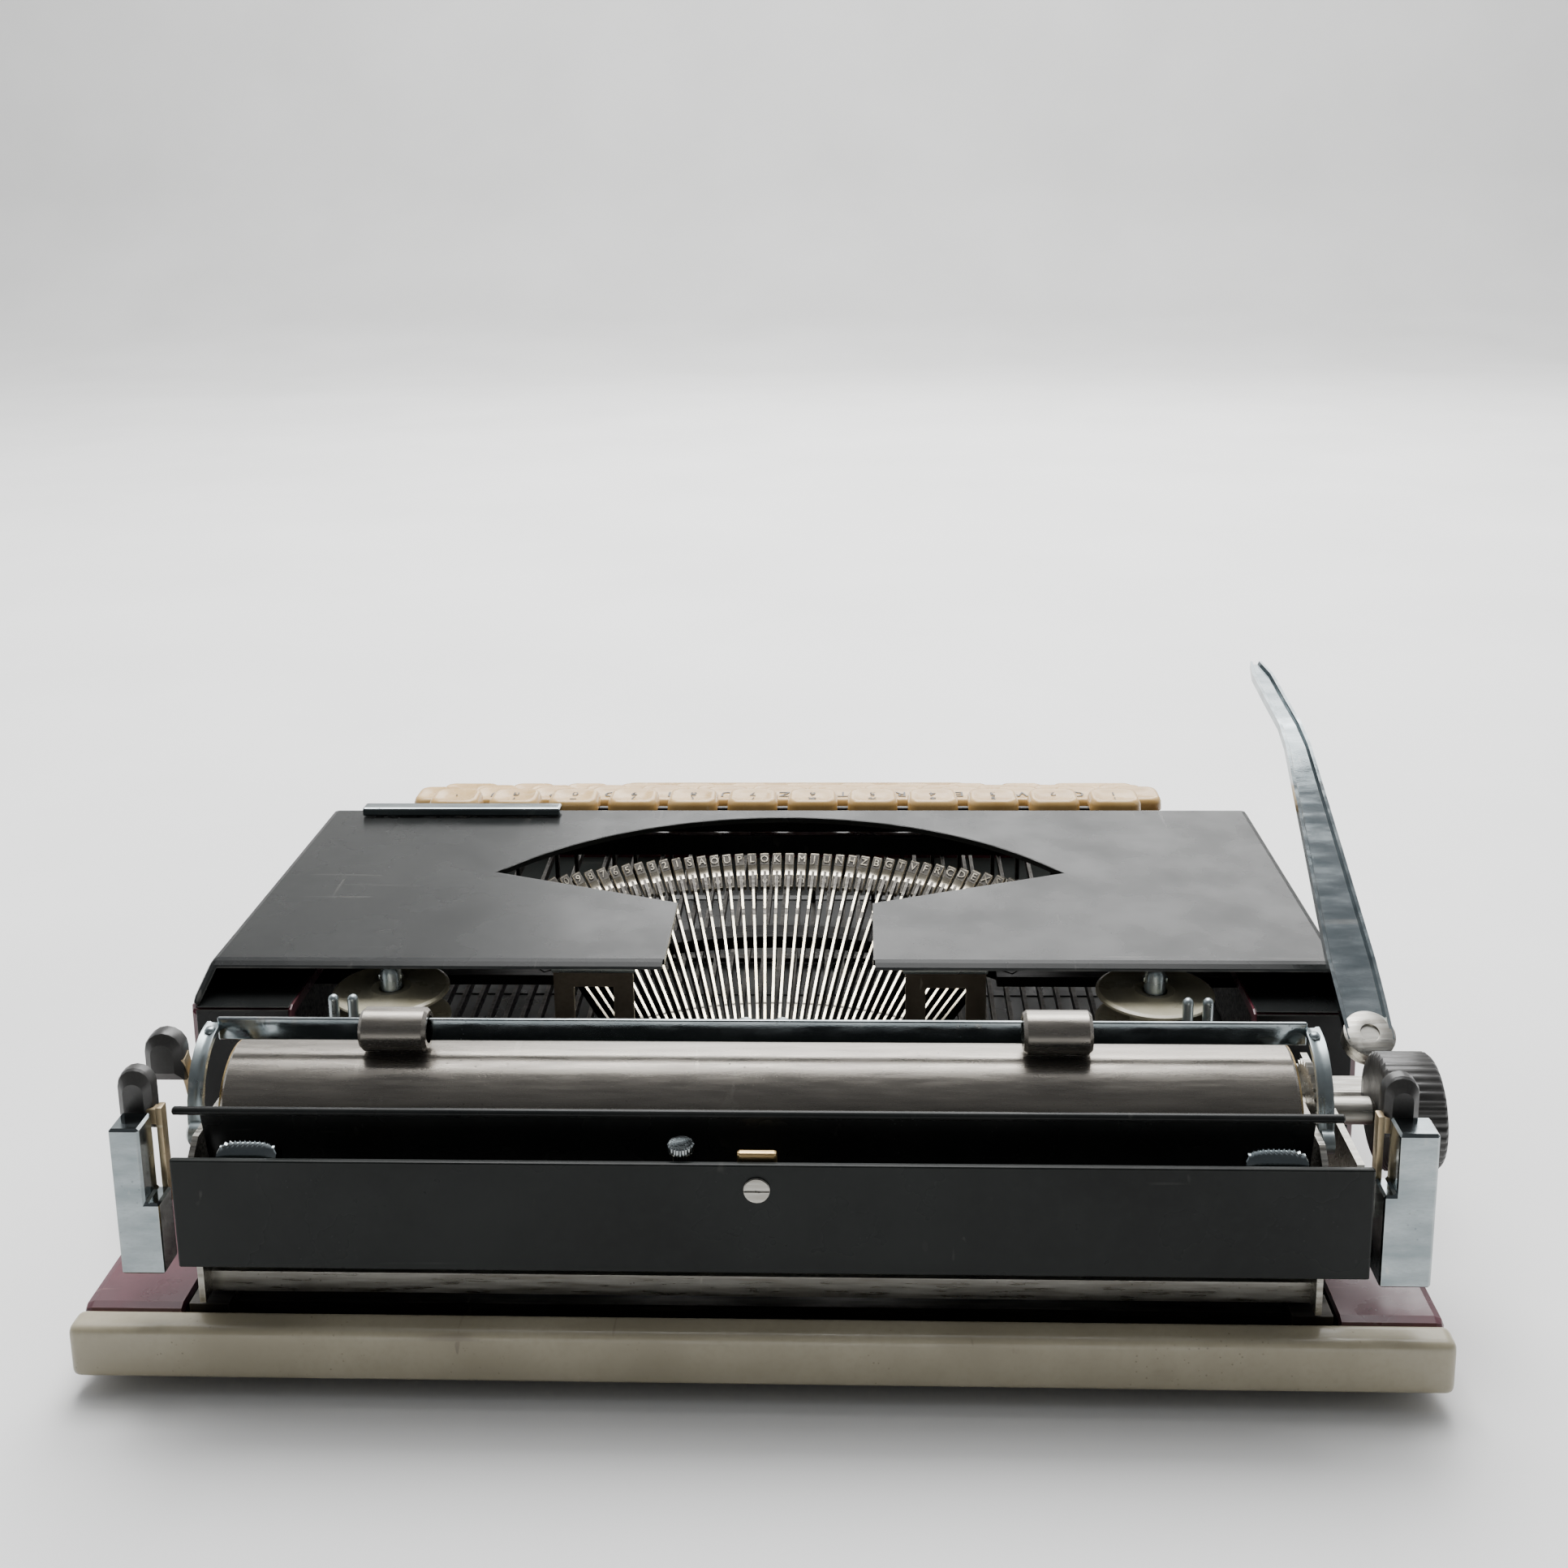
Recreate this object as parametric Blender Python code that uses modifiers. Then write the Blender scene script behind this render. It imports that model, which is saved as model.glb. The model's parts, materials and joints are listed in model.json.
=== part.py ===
"""A flat portable typewriter: shells, carriage, type basket, keyboard and ribbon gear.

+X is the typist's right, -Y is the keyboard side, +Z is up. The origin lies under
the middle of the machine, on the surface that the feet stand on. Most places are
given by a depth, measured forward from the machine's rear face.
"""

import math

import bmesh
import bpy
from mathutils import Matrix, Vector

# Overall sizes, metres.
WIDTH = 0.287
DEPTH = 0.290
HALF_WIDTH = WIDTH / 2
REAR = DEPTH / 2
GAP = 0.0003
FOOT_HEIGHT = 0.004
PAN_TOP = 0.006
DECK_TOP = 0.016
FLANGE_TOP = 0.050
WALL = 0.003

# The corridor that the carriage runs in, and the hood.
CORRIDOR_FRONT = 0.0765
CORRIDOR_HALF = 0.122
WELL_HALF = 0.118
WELL_FRONT = 0.1935
KEY_WELL_REAR = 0.1985
KEY_WELL_FRONT = 0.2865
KEY_WELL_HALF = 0.1275
HOOD_TOP = 0.0585
HOOD_REAR = 0.086
HOOD_FRONT = 0.194
THROAT_HALF = 0.0265
THROAT_FRONT = 0.122
EYE_HALF = 0.080
EYE_TIP = 0.143
EYE_FRONT = 0.187

# Carriage. Its works reach further out at the typist's left, beyond the end plate.
PLATE_INNER = 0.1165
PLATE_OUTER = 0.1178
PLATEN_DEPTH = 0.035
PLATEN_Z = 0.048
PLATEN_RADIUS = 0.0145
PLATEN_HALF = 0.1160
SHAFT_RADIUS = 0.003
KNOB_INNER = -0.1350
KNOB_OUTER = -0.1470
BAIL_DEPTH = 0.0325
BAIL_Z = 0.0674
BAIL_PIVOT = (0.019, 0.050)
BAIL_ROLLER_RADIUS = 0.0047
FEED_RADIUS = 0.0045
LEVER_HUB = (-0.1385, 0.0545, 0.0550)
LEVER_RISE = math.atan2(0.0475, 0.0735)
SHIFT_SHAFT = (0.0925, 0.0085)
RAIL_TOP = 0.0145
BEAM_LOW = 0.0168

# Keyboard.
PITCH = 0.01905
ROW_DEPTHS = (0.2098, 0.2273, 0.2448, 0.2623)
ROW_TOPS = (0.0576, 0.0520, 0.0464, 0.0408)
ROW_STARTS = (-5.42 * PITCH, -4.92 * PITCH, -4.67 * PITCH, -4.17 * PITCH)
ROW_COUNTS = (12, 11, 11, 10)
SINGLE_KEY = (1, 4)
CAP_WIDTH = 0.0158
CAP_DEPTH = 0.0136
CAP_THICK = 0.0042
FULCRUM_DEPTH = 0.085
FULCRUM_Z = 0.0105
FULCRUM_RADIUS = 0.0015
LEVER_THICK = 0.0012
LEVER_HEIGHT = 0.003

# Type basket: bars fan out round a vertical axis through the printing point.
PRINT_DEPTH = 0.0505
BAR_COUNT = 44
SINGLE_BAR = 21
FAN_STEP = math.radians(73.2 / 43)
BAR_PIVOT_RADIUS = 0.062
BAR_PIVOT_Z = 0.024
BAR_LENGTH = 0.0644
BAR_REST_ANGLE = math.radians(20.5)
BAR_THICK = 0.0008
SLUG_SIZE = (0.0115, 0.0028, 0.0027)
SLUG_RISE = math.radians(42)
SLUG_ROLL = 0.6

# Ribbon spools.
SPOOL_X = 0.0963
SPOOL_DEPTH = 0.090
SPOOL_RADIUS = 0.0146

COLOURS = {
    "burgundy": ((0.105, 0.028, 0.040), 0.45, 0.0),
    "beige": ((0.36, 0.32, 0.24), 0.5, 0.0),
    "black": ((0.018, 0.019, 0.018), 0.4, 0.0),
    "cream": ((0.72, 0.58, 0.36), 0.4, 0.0),
    "steel": ((0.42, 0.42, 0.40), 0.35, 1.0),
    "chrome": ((0.72, 0.74, 0.75), 0.15, 1.0),
    "brass": ((0.70, 0.53, 0.28), 0.3, 1.0),
    "rubber": ((0.03, 0.03, 0.03), 0.6, 0.0),
}

AXIS_TURNS = {
    "X": Matrix.Rotation(math.pi / 2, 4, "Y"),
    "Y": Matrix.Rotation(math.pi / 2, 4, "X"),
    "Z": Matrix.Identity(4),
}


# ---------------------------------------------------------------- helpers


def point(x, depth, z):
    """World position of a place given by its depth forward of the rear face."""
    return Vector((x, REAR - depth, z))


def clear_scene():
    for obj in list(bpy.data.objects):
        bpy.data.objects.remove(obj, do_unlink=True)


def make_material(name):
    colour, roughness, metallic = COLOURS[name]
    material = bpy.data.materials.new(name)
    material.use_nodes = True
    shader = material.node_tree.nodes["Principled BSDF"]
    shader.inputs["Base Color"].default_value = (*colour, 1.0)
    shader.inputs["Roughness"].default_value = roughness
    shader.inputs["Metallic"].default_value = metallic
    return material


def block(x_range, depth_range, z_range):
    """A closed box between the given limits, as a bmesh."""
    low = point(x_range[0], depth_range[1], z_range[0])
    high = point(x_range[1], depth_range[0], z_range[1])
    size = high - low
    place = Matrix.Translation((low + high) / 2) @ Matrix.Diagonal((*size, 1.0))
    mesh = bmesh.new()
    bmesh.ops.create_cube(mesh, size=1.0, matrix=place)
    return mesh


def tapered_block(low_limits, high_limits, z_range):
    """A box whose bottom and top have their own half width and depth range."""
    mesh = block((-1, 1), (0, 1), z_range)
    middle = sum(z_range) / 2
    for vert in mesh.verts:
        half, rear, front = low_limits if vert.co.z < middle else high_limits
        vert.co.x *= half
        vert.co.y = REAR - (front if vert.co.y < REAR - 0.5 else rear)
    return mesh


def cylinder(axis, centre, radius, length, sides=24):
    mesh = bmesh.new()
    place = Matrix.Translation(centre) @ AXIS_TURNS[axis]
    bmesh.ops.create_cone(
        mesh, cap_ends=True, segments=sides, radius1=radius, radius2=radius, depth=length, matrix=place
    )
    return mesh


def strut(start, end, width, thickness):
    """A flat bar from one point to another, its width lying along X."""
    run = end - start
    forward = run.normalized()
    side = Vector((1, 0, 0))
    side = (side - forward * side.dot(forward)).normalized()
    turn = Matrix((side, side.cross(forward) * -1, forward)).transposed().to_4x4()
    scale = Matrix.Diagonal((width, thickness, run.length, 1.0))
    mesh = bmesh.new()
    bmesh.ops.create_cube(mesh, size=1.0, matrix=Matrix.Translation((start + end) / 2) @ turn @ scale)
    bmesh.ops.recalc_face_normals(mesh, faces=mesh.faces)
    return mesh


def mesh_of(obj):
    """The object's evaluated mesh in world space as a welded bmesh; the object is removed."""
    bpy.context.view_layer.update()
    graph = bpy.context.evaluated_depsgraph_get()
    data = bpy.data.meshes.new_from_object(obj.evaluated_get(graph))
    data.transform(obj.matrix_world)
    mesh = bmesh.new()
    mesh.from_mesh(data)
    bmesh.ops.remove_doubles(mesh, verts=mesh.verts, dist=1e-6)
    bmesh.ops.recalc_face_normals(mesh, faces=mesh.faces)
    bpy.data.meshes.remove(data)
    bpy.data.objects.remove(obj)
    return mesh


def outline(points, thickness, frame):
    """A flat outline of the given thickness; frame carries its plane into the world."""
    curve = bpy.data.curves.new("outline", "CURVE")
    curve.dimensions = "2D"
    curve.fill_mode = "BOTH"
    curve.extrude = thickness / 2
    spline = curve.splines.new("POLY")
    spline.points.add(len(points) - 1)
    for target, (u, v) in zip(spline.points, points):
        target.co = (u, v, 0.0, 1.0)
    spline.use_cyclic_u = True
    obj = bpy.data.objects.new("outline", curve)
    bpy.context.scene.collection.objects.link(obj)
    obj.matrix_world = frame
    return mesh_of(obj)


def side_outline(points, x_range):
    """An outline drawn in depth and height, extruded across X."""
    frame = Matrix(((0, 0, 1), (1, 0, 0), (0, 1, 0))).to_4x4()
    frame.translation = (sum(x_range) / 2, 0, 0)
    placed = [(REAR - depth, z) for depth, z in points]
    return outline(placed, x_range[1] - x_range[0], frame)


def rear_outline(points, depth_range):
    """An outline drawn in X and height, extruded forward."""
    frame = Matrix(((1, 0, 0), (0, 0, -1), (0, 1, 0))).to_4x4()
    frame.translation = (0, REAR - sum(depth_range) / 2, 0)
    return outline(points, depth_range[1] - depth_range[0], frame)


def top_outline(points, z_range):
    """An outline drawn in X and depth, extruded up."""
    frame = Matrix.Translation((0, 0, sum(z_range) / 2))
    placed = [(x, REAR - depth) for x, depth in points]
    return outline(placed, z_range[1] - z_range[0], frame)


def wire(points, radius):
    """A round wire through the given points, with closed ends."""
    curve = bpy.data.curves.new("wire", "CURVE")
    curve.dimensions = "3D"
    curve.bevel_depth = radius
    curve.bevel_resolution = 1
    curve.use_fill_caps = True
    spline = curve.splines.new("POLY")
    spline.points.add(len(points) - 1)
    for target, place in zip(spline.points, points):
        target.co = (*place, 1.0)
    obj = bpy.data.objects.new("wire", curve)
    bpy.context.scene.collection.objects.link(obj)
    return mesh_of(obj)


def turned(profile, centre, axis="Z", steps=24):
    """A profile of (radius, height) pairs, listed top to bottom, spun round an axis."""
    data = bpy.data.meshes.new("profile")
    mesh = bmesh.new()
    verts = [mesh.verts.new((radius, 0, height)) for radius, height in profile]
    for first, second in zip(verts, verts[1:]):
        mesh.edges.new((first, second))
    mesh.to_mesh(data)
    mesh.free()
    obj = bpy.data.objects.new("turned", data)
    bpy.context.scene.collection.objects.link(obj)
    screw = obj.modifiers.new("spin", "SCREW")
    screw.steps = steps
    screw.render_steps = steps
    screw.use_merge_vertices = True
    screw.merge_threshold = 1e-6
    obj.matrix_world = Matrix.Translation(centre) @ AXIS_TURNS[axis]
    return mesh_of(obj)


def loose_object(mesh, name="piece"):
    data = bpy.data.meshes.new(name)
    mesh.to_mesh(data)
    mesh.free()
    obj = bpy.data.objects.new(name, data)
    bpy.context.scene.collection.objects.link(obj)
    return obj


def rounded(mesh, width, segments=2):
    """The shape with its edges rounded."""
    obj = loose_object(mesh)
    bevel = obj.modifiers.new("round", "BEVEL")
    bevel.width = width
    bevel.segments = segments
    bevel.limit_method = "ANGLE"
    bevel.angle_limit = math.radians(25)
    return mesh_of(obj)


def gathered(meshes):
    """Several shapes in one bmesh, still as separate bodies."""
    whole = bmesh.new()
    for mesh in meshes:
        data = bpy.data.meshes.new("gathered")
        mesh.to_mesh(data)
        mesh.free()
        whole.from_mesh(data)
        bpy.data.meshes.remove(data)
    return whole


def combined(base, others, operation):
    """The Boolean of a shape with a list of others."""
    first = loose_object(base)
    second = loose_object(gathered(others))
    modifier = first.modifiers.new("combine", "BOOLEAN")
    modifier.operation = operation
    modifier.object = second
    modifier.use_self = True
    result = mesh_of(first)
    bpy.data.objects.remove(second)
    return result


def fused(meshes):
    """Overlapping shapes joined into one body."""
    return combined(meshes[0], meshes[1:], "UNION")


def cut(mesh, cutters):
    return combined(mesh, cutters, "DIFFERENCE")


def mirrored_blocks(inner, outer, depth_range, z_range, centre=0.0):
    """The same box on both sides of the centre."""
    return [
        block((centre + inner, centre + outer), depth_range, z_range),
        block((centre - outer, centre - inner), depth_range, z_range),
    ]


class Builder:
    """Makes the named objects of the machine in their own collection."""

    def __init__(self, collection_name):
        self.collection = bpy.data.collections.new(collection_name)
        bpy.context.scene.collection.children.link(self.collection)
        self.materials = {name: make_material(name) for name in COLOURS}

    def add(self, name, mesh, material, origin=None, smooth=False):
        """Adds one sub-part. A moving piece gets its origin on its joint's axis."""
        bmesh.ops.recalc_face_normals(mesh, faces=mesh.faces)
        obj = loose_object(mesh, name)
        bpy.context.scene.collection.objects.unlink(obj)
        self.collection.objects.link(obj)
        obj.data.materials.append(self.materials[material])
        if origin is not None:
            obj.data.transform(Matrix.Translation(-origin))
            obj.location = origin
        if smooth:
            obj.data.shade_smooth()
            obj.data.set_sharp_from_angle(angle=math.radians(35))
        return obj


# ---------------------------------------------------------------- shells


def add_bottom_pan(build):
    """The floor plate with the raised strip that closes the machine's rear."""
    strip = rounded(block((-HALF_WIDTH, HALF_WIDTH), (0, 0.0068), (FOOT_HEIGHT, DECK_TOP)), 0.002)
    floor_half = HALF_WIDTH - WALL - 0.001
    floor_z = (FOOT_HEIGHT + 0.0002, PAN_TOP)
    floor = block((-floor_half, floor_half), (0.004, KEY_WELL_FRONT - 0.001), floor_z)
    build.add("bottom_pan", fused([strip, floor]), "beige")


def body_block():
    """The closed outside shape of the body: low at the carriage, high under the hood."""
    profile = [
        (0.0071, FOOT_HEIGHT),
        (0.0071, DECK_TOP),
        (CORRIDOR_FRONT, DECK_TOP),
        (CORRIDOR_FRONT, FLANGE_TOP),
        (KEY_WELL_REAR, FLANGE_TOP),
        (0.2865, 0.0215),
        (DEPTH, 0.0170),
        (DEPTH, FOOT_HEIGHT),
    ]
    return rounded(side_outline(profile, (-HALF_WIDTH, HALF_WIDTH)), 0.0022)


def add_body_shell(build):
    inner = HALF_WIDTH - WALL
    hollow = [
        (CORRIDOR_FRONT + WALL, -0.001),
        (CORRIDOR_FRONT + WALL, FLANGE_TOP - 0.0025),
        (KEY_WELL_REAR - 0.001, FLANGE_TOP - 0.0025),
        (KEY_WELL_FRONT, 0.0188),
        (KEY_WELL_FRONT, -0.001),
    ]
    cutters = [
        side_outline(hollow, (-inner, inner)),
        block((-inner, inner), (0.0101, CORRIDOR_FRONT + 0.010), (-0.001, DECK_TOP - 0.002)),
        block((-inner, inner), (0.005, 0.012), (-0.002, PAN_TOP + GAP)),
        block((-CORRIDOR_HALF, CORRIDOR_HALF), (0.0, CORRIDOR_FRONT), (-0.003, 0.030)),
        block((-WELL_HALF, WELL_HALF), (0.070, WELL_FRONT), (-0.004, 0.080)),
        block((-KEY_WELL_HALF, KEY_WELL_HALF), (KEY_WELL_REAR, KEY_WELL_FRONT), (-0.005, 0.081)),
    ]
    build.add("body_shell", cut(body_block(), cutters), "burgundy")


def eye_outline():
    """The opening over the type basket, with the throat that runs to the rear edge."""
    rise = EYE_FRONT - EYE_TIP
    radius = (EYE_HALF**2 + rise**2) / (2 * rise)
    half_angle = math.asin(EYE_HALF / radius)
    steps = 16
    arc = []
    for step in range(steps + 1):
        angle = half_angle * (1 - 2 * step / steps)
        arc.append((radius * math.sin(angle), EYE_FRONT - radius * (1 - math.cos(angle))))
    throat_left = [(-THROAT_HALF, THROAT_FRONT), (-THROAT_HALF, 0.060)]
    throat_right = [(THROAT_HALF, 0.060), (THROAT_HALF, THROAT_FRONT)]
    return arc + throat_left + throat_right


def add_hood(build):
    """The lift-off cover, open to the rear, with the eye and throat cut through its top."""
    skirt_z = FLANGE_TOP + GAP
    outside = tapered_block(
        (HALF_WIDTH, CORRIDOR_FRONT, KEY_WELL_REAR - GAP),
        (0.1407, HOOD_REAR, HOOD_FRONT),
        (skirt_z, HOOD_TOP),
    )
    inside = tapered_block(
        (HALF_WIDTH - 0.002, 0.060, KEY_WELL_REAR - 0.002),
        (0.1387, 0.060, HOOD_FRONT - 0.002),
        (skirt_z - 0.001, HOOD_TOP - 0.0015),
    )
    shell = cut(rounded(outside, 0.0015), [inside, top_outline(eye_outline(), (0.040, 0.070))])
    build.add("hood", shell, "black")


def add_badge(build):
    bar = block((0.069, 0.130), (0.1865, 0.1915), (HOOD_TOP + GAP, 0.0615))
    build.add("badge_bar", rounded(bar, 0.0006), "chrome")


def add_feet(build):
    for side, x in (("left", -0.120), ("right", 0.120)):
        for end, depth in (("rear", 0.025), ("front", 0.265)):
            centre = point(x, depth, (FOOT_HEIGHT - GAP) / 2)
            foot = cylinder("Z", centre, 0.007, FOOT_HEIGHT - GAP, 20)
            build.add(f"foot_{end}_{side}", foot, "rubber", smooth=True)


# ---------------------------------------------------------------- frame and inner works


def add_main_frame(build):
    """Two upright side plates tied together across the floor."""
    plates = mirrored_blocks(0.1285, 0.1305, (0.0805, 0.200), (0.0065, 0.0440))
    ties = [
        block((-0.130, 0.130), (0.0810, 0.0825), (0.0066, 0.0088)),
        block((-0.130, 0.130), (0.1960, 0.1990), (0.0066, 0.0080)),
    ]
    build.add("main_frame", fused(plates + ties), "steel")
    rod = cylinder("X", point(0, FULCRUM_DEPTH, FULCRUM_Z), FULCRUM_RADIUS, 0.2564, 12)
    build.add("key_fulcrum_rod", rod, "steel", smooth=True)


def fan_point(radius, angle, z):
    """A place in the type basket, by its radius and angle round the printing point."""
    return point(radius * math.sin(angle), PRINT_DEPTH + radius * math.cos(angle), z)


def ring_sector(inner, outer, half_angle, z_range, steps=16):
    """A flat arc-shaped block centred on the printing point."""
    angles = [half_angle * (2 * step / steps - 1) for step in range(steps + 1)]
    edge = [fan_point(outer, angle, 0) for angle in angles]
    edge += [fan_point(inner, angle, 0) for angle in reversed(angles)]
    return top_outline([(place.x, REAR - place.y) for place in edge], z_range)


def add_segment(build):
    """The block that carries the type bars, with its cross bars out to the frame."""
    sector = ring_sector(0.040, 0.0585, math.radians(42), (0.0185, 0.0230))
    arms = mirrored_blocks(0.0285, 0.1282, (0.0830, 0.0925), (0.0190, 0.0300))
    build.add("segment", fused([sector] + arms), "steel")


def add_typebar_rest(build):
    sector = ring_sector(0.1000, 0.1080, math.radians(40), (0.0325, 0.0360))
    arms = mirrored_blocks(0.0600, 0.1282, (0.1255, 0.1310), (0.0328, 0.0357))
    build.add("typebar_rest", fused([sector] + arms), "steel")


def bar_place(along, across):
    """Radius and height of a spot on a resting type bar."""
    cosine = math.cos(BAR_REST_ANGLE)
    sine = math.sin(BAR_REST_ANGLE)
    radius = BAR_PIVOT_RADIUS + along * cosine - across * sine
    return radius, BAR_PIVOT_Z + along * sine + across * cosine


def typebar_shapes(angle):
    """The bar and its type slug, swung out to the given angle of the fan."""
    radial = Vector((math.sin(angle), -math.cos(angle), 0))
    across = radial.cross(Vector((0, 0, 1)))
    frame = Matrix((radial, Vector((0, 0, 1)), across)).transposed().to_4x4()
    frame.translation = point(0, PRINT_DEPTH, 0)
    half = [(-0.0022, 0.0018), (0.004, 0.0018), (BAR_LENGTH, 0.0010)]
    edge = [bar_place(along, -width) for along, width in half]
    edge += [bar_place(along, width) for along, width in reversed(half)]
    bar = outline(edge, BAR_THICK, frame)
    centre = bar_place(BAR_LENGTH, 0)
    length, thick, width = SLUG_SIZE
    slug = bmesh.new()
    roll = Matrix.Rotation(-SLUG_ROLL * angle, 4, "X")
    local = Matrix.Translation((*centre, 0)) @ roll @ Matrix.Rotation(SLUG_RISE, 4, "Z")
    scale = Matrix.Diagonal((length, thick, width, 1.0))
    bmesh.ops.create_cube(slug, size=1.0, matrix=frame @ local @ scale)
    return [bar, slug]


def bar_angle(index):
    return (index - (BAR_COUNT - 1) / 2) * FAN_STEP


def add_type_basket(build):
    """Every type bar but one, strung on the curved wire they hinge on."""
    reach = bar_angle(BAR_COUNT - 1) + math.radians(1)
    angles = [reach * (2 * step / 24 - 1) for step in range(25)]
    shapes = [wire([fan_point(BAR_PIVOT_RADIUS, angle, BAR_PIVOT_Z) for angle in angles], 0.0009)]
    for index in range(BAR_COUNT):
        if index != SINGLE_BAR:
            shapes += typebar_shapes(bar_angle(index))
    build.add("typebar_basket", fused(shapes), "steel")


def add_single_typebar(build):
    """The type bar that is modelled with its own motion, eyed round the hinge wire."""
    angle = bar_angle(SINGLE_BAR)
    pivot = fan_point(BAR_PIVOT_RADIUS, angle, BAR_PIVOT_Z)
    eye = cylinder("X", pivot, 0.0013, 0.004, 12)
    bar = cut(fused(typebar_shapes(angle)), [eye])
    build.add("typebar_single", bar, "steel", origin=pivot)


def add_type_guide(build):
    """The slotted guide that steers each bar to the printing point."""
    shapes = [
        block((-0.0065, 0.0065), (0.0600, 0.0630), (0.0268, 0.0360)),
        block((-0.0065, -0.0022), (0.0600, 0.0630), (0.0350, 0.0553)),
        block((0.0022, 0.0065), (0.0600, 0.0630), (0.0350, 0.0553)),
        block((-0.0050, 0.0050), (0.0620, 0.0935), (0.0268, 0.0283)),
        block((-0.0048, 0.0048), (0.0908, 0.0933), (0.0233, 0.0275)),
    ]
    build.add("type_guide", fused(shapes), "steel")


def add_vibrator(build):
    """The fork that lifts the ribbon when a key is struck."""
    shapes = [
        block((-0.0042, 0.0042), (0.0583, 0.0593), (0.0100, 0.0350)),
        block((-0.0075, 0.0075), (0.0583, 0.0593), (0.0300, 0.0360)),
        block((-0.0075, -0.0032), (0.0583, 0.0593), (0.0350, 0.0500)),
        block((0.0032, 0.0075), (0.0583, 0.0593), (0.0350, 0.0500)),
    ]
    origin = point(0, 0.0588, 0.0300)
    build.add("ribbon_vibrator", fused(shapes), "steel", origin=origin)


def add_basket_plates(build):
    """Windowed plates that stand either side of the throat."""
    for side, sign in (("left", -1), ("right", 1)):
        near, far = sorted((sign * 0.034, sign * 0.054))
        upright = block((near, far), (0.0860, 0.0872), (0.0303, 0.0565))
        foot = block((near, far), (0.0861, 0.0920), (0.0303, 0.0316))
        window = block((near + 0.005, far - 0.005), (0.084, 0.089), (0.0415, 0.0515))
        plate = cut(fused([upright, foot]), [window])
        build.add(f"basket_plate_{side}", plate, "steel")


def add_spools(build):
    """A cream spool on its shaft on each side, with the pair of ribbon pins beside it."""
    for side, sign in (("left", -1), ("right", 1)):
        centre = point(sign * SPOOL_X, SPOOL_DEPTH, 0)
        profile = [
            (0.0031, 0.0495),
            (SPOOL_RADIUS, 0.0495),
            (SPOOL_RADIUS, 0.0482),
            (0.0060, 0.0482),
            (0.0060, 0.0413),
            (SPOOL_RADIUS, 0.0413),
            (SPOOL_RADIUS, 0.0400),
            (0.0031, 0.0400),
            (0.0031, 0.0495),
        ]
        build.add(f"ribbon_spool_{side}", turned(profile, centre), "cream", origin=centre, smooth=True)
        shaft = cylinder("Z", centre + Vector((0, 0, 0.0428)), 0.0027, 0.0250, 16)
        build.add(f"spool_shaft_{side}", shaft, "steel", smooth=True)
        add_ribbon_guide(build, side, sign)


def add_ribbon_guide(build, side, sign):
    pins = [
        cylinder("Z", point(sign * x, 0.0742, 0.0426), 0.0013, 0.0248, 10) for x in (0.1015, 0.1063)
    ]
    near, far = sorted((sign * 0.0990, sign * 0.1088))
    foot = block((near, far), (0.0722, 0.0900), (0.0303, 0.0318))
    build.add(f"ribbon_guide_{side}", fused([foot] + pins), "black", smooth=True)


def add_drum_and_bell(build):
    """The spring drum that draws the carriage, and the line-end bell."""
    side = [(0.0, 0.0140), (0.0110, 0.0140), (0.0120, 0.0130), (0.0120, 0.0070), (0.0, 0.0070)]
    drum = turned(side, point(0.085, 0.033, 0))
    build.add("mainspring_drum", drum, "brass", origin=point(0.085, 0.033, 0.0105), smooth=True)
    arc = [math.radians(90 - 11.25 * step) for step in range(9)]
    profile = [(0.0105 * math.cos(a), 0.0075 + 0.0072 * math.sin(a)) for a in arc] + [(0.0, 0.0075)]
    profile[0] = (0.0, profile[0][1])
    build.add("bell", turned(profile, point(-0.085, 0.033, 0)), "steel", smooth=True)


# ---------------------------------------------------------------- carriage


def add_rails(build):
    """The two rails under the carriage, which lift with the shift keys."""
    front = block((-0.1160, 0.1160), (0.0500, 0.0550), (0.0085, RAIL_TOP))
    rear = [block((-0.1200, 0.1200), (0.0120, 0.0158), (0.0085, RAIL_TOP))]
    rear += mirrored_blocks(0.1120, 0.1205, (0.0086, 0.0159), (0.0090, 0.0160))
    build.add("rail_front", front, "steel")
    build.add("rail_rear", fused(rear), "steel")


def add_carriage_frame(build):
    """End plates joined by two beams, with the bracket that carries the return lever."""
    side = [
        (0.0078, BEAM_LOW),
        (0.0078, 0.0500),
        (0.0115, 0.0535),
        (0.0480, 0.0535),
        (0.0575, 0.0440),
        (0.0575, BEAM_LOW),
    ]
    plates = [
        side_outline(side, (PLATE_INNER, PLATE_OUTER)),
        side_outline(side, (-PLATE_OUTER, -PLATE_INNER)),
    ]
    span = (-PLATE_INNER - 0.001, PLATE_INNER + 0.001)
    beams = [
        block(span, (0.0120, 0.0190), (BEAM_LOW, 0.0215)),
        block(span, (0.0490, 0.0570), (BEAM_LOW, 0.0200)),
    ]
    brackets = [
        block((-0.1440, -PLATE_INNER - 0.0005), (0.0500, 0.0574), (0.0405, 0.0440)),
        block((-0.1255, -0.1240), (0.0100, 0.0570), (0.0380, 0.0500)),
        block((-0.1250, -PLATE_INNER - 0.0005), (0.0100, 0.0125), (0.0385, 0.0440)),
    ]
    journal = cylinder("X", point(0, PLATEN_DEPTH, PLATEN_Z), SHAFT_RADIUS + 0.0004, 0.260, 20)
    frame = cut(fused(plates + beams + brackets), [journal])
    build.add("carriage_frame", frame, "steel")


def add_rear_panel(build):
    panel = block((-0.1249, 0.1185), (0.0006, 0.0020), (0.0300, 0.0545))
    build.add("rear_panel", rounded(panel, 0.0004), "black")
    screw = cylinder("Y", point(-0.0016, 0.00015, 0.0490), 0.0027, 0.0003, 16)
    build.add("panel_screw", screw, "steel", smooth=True)


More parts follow.
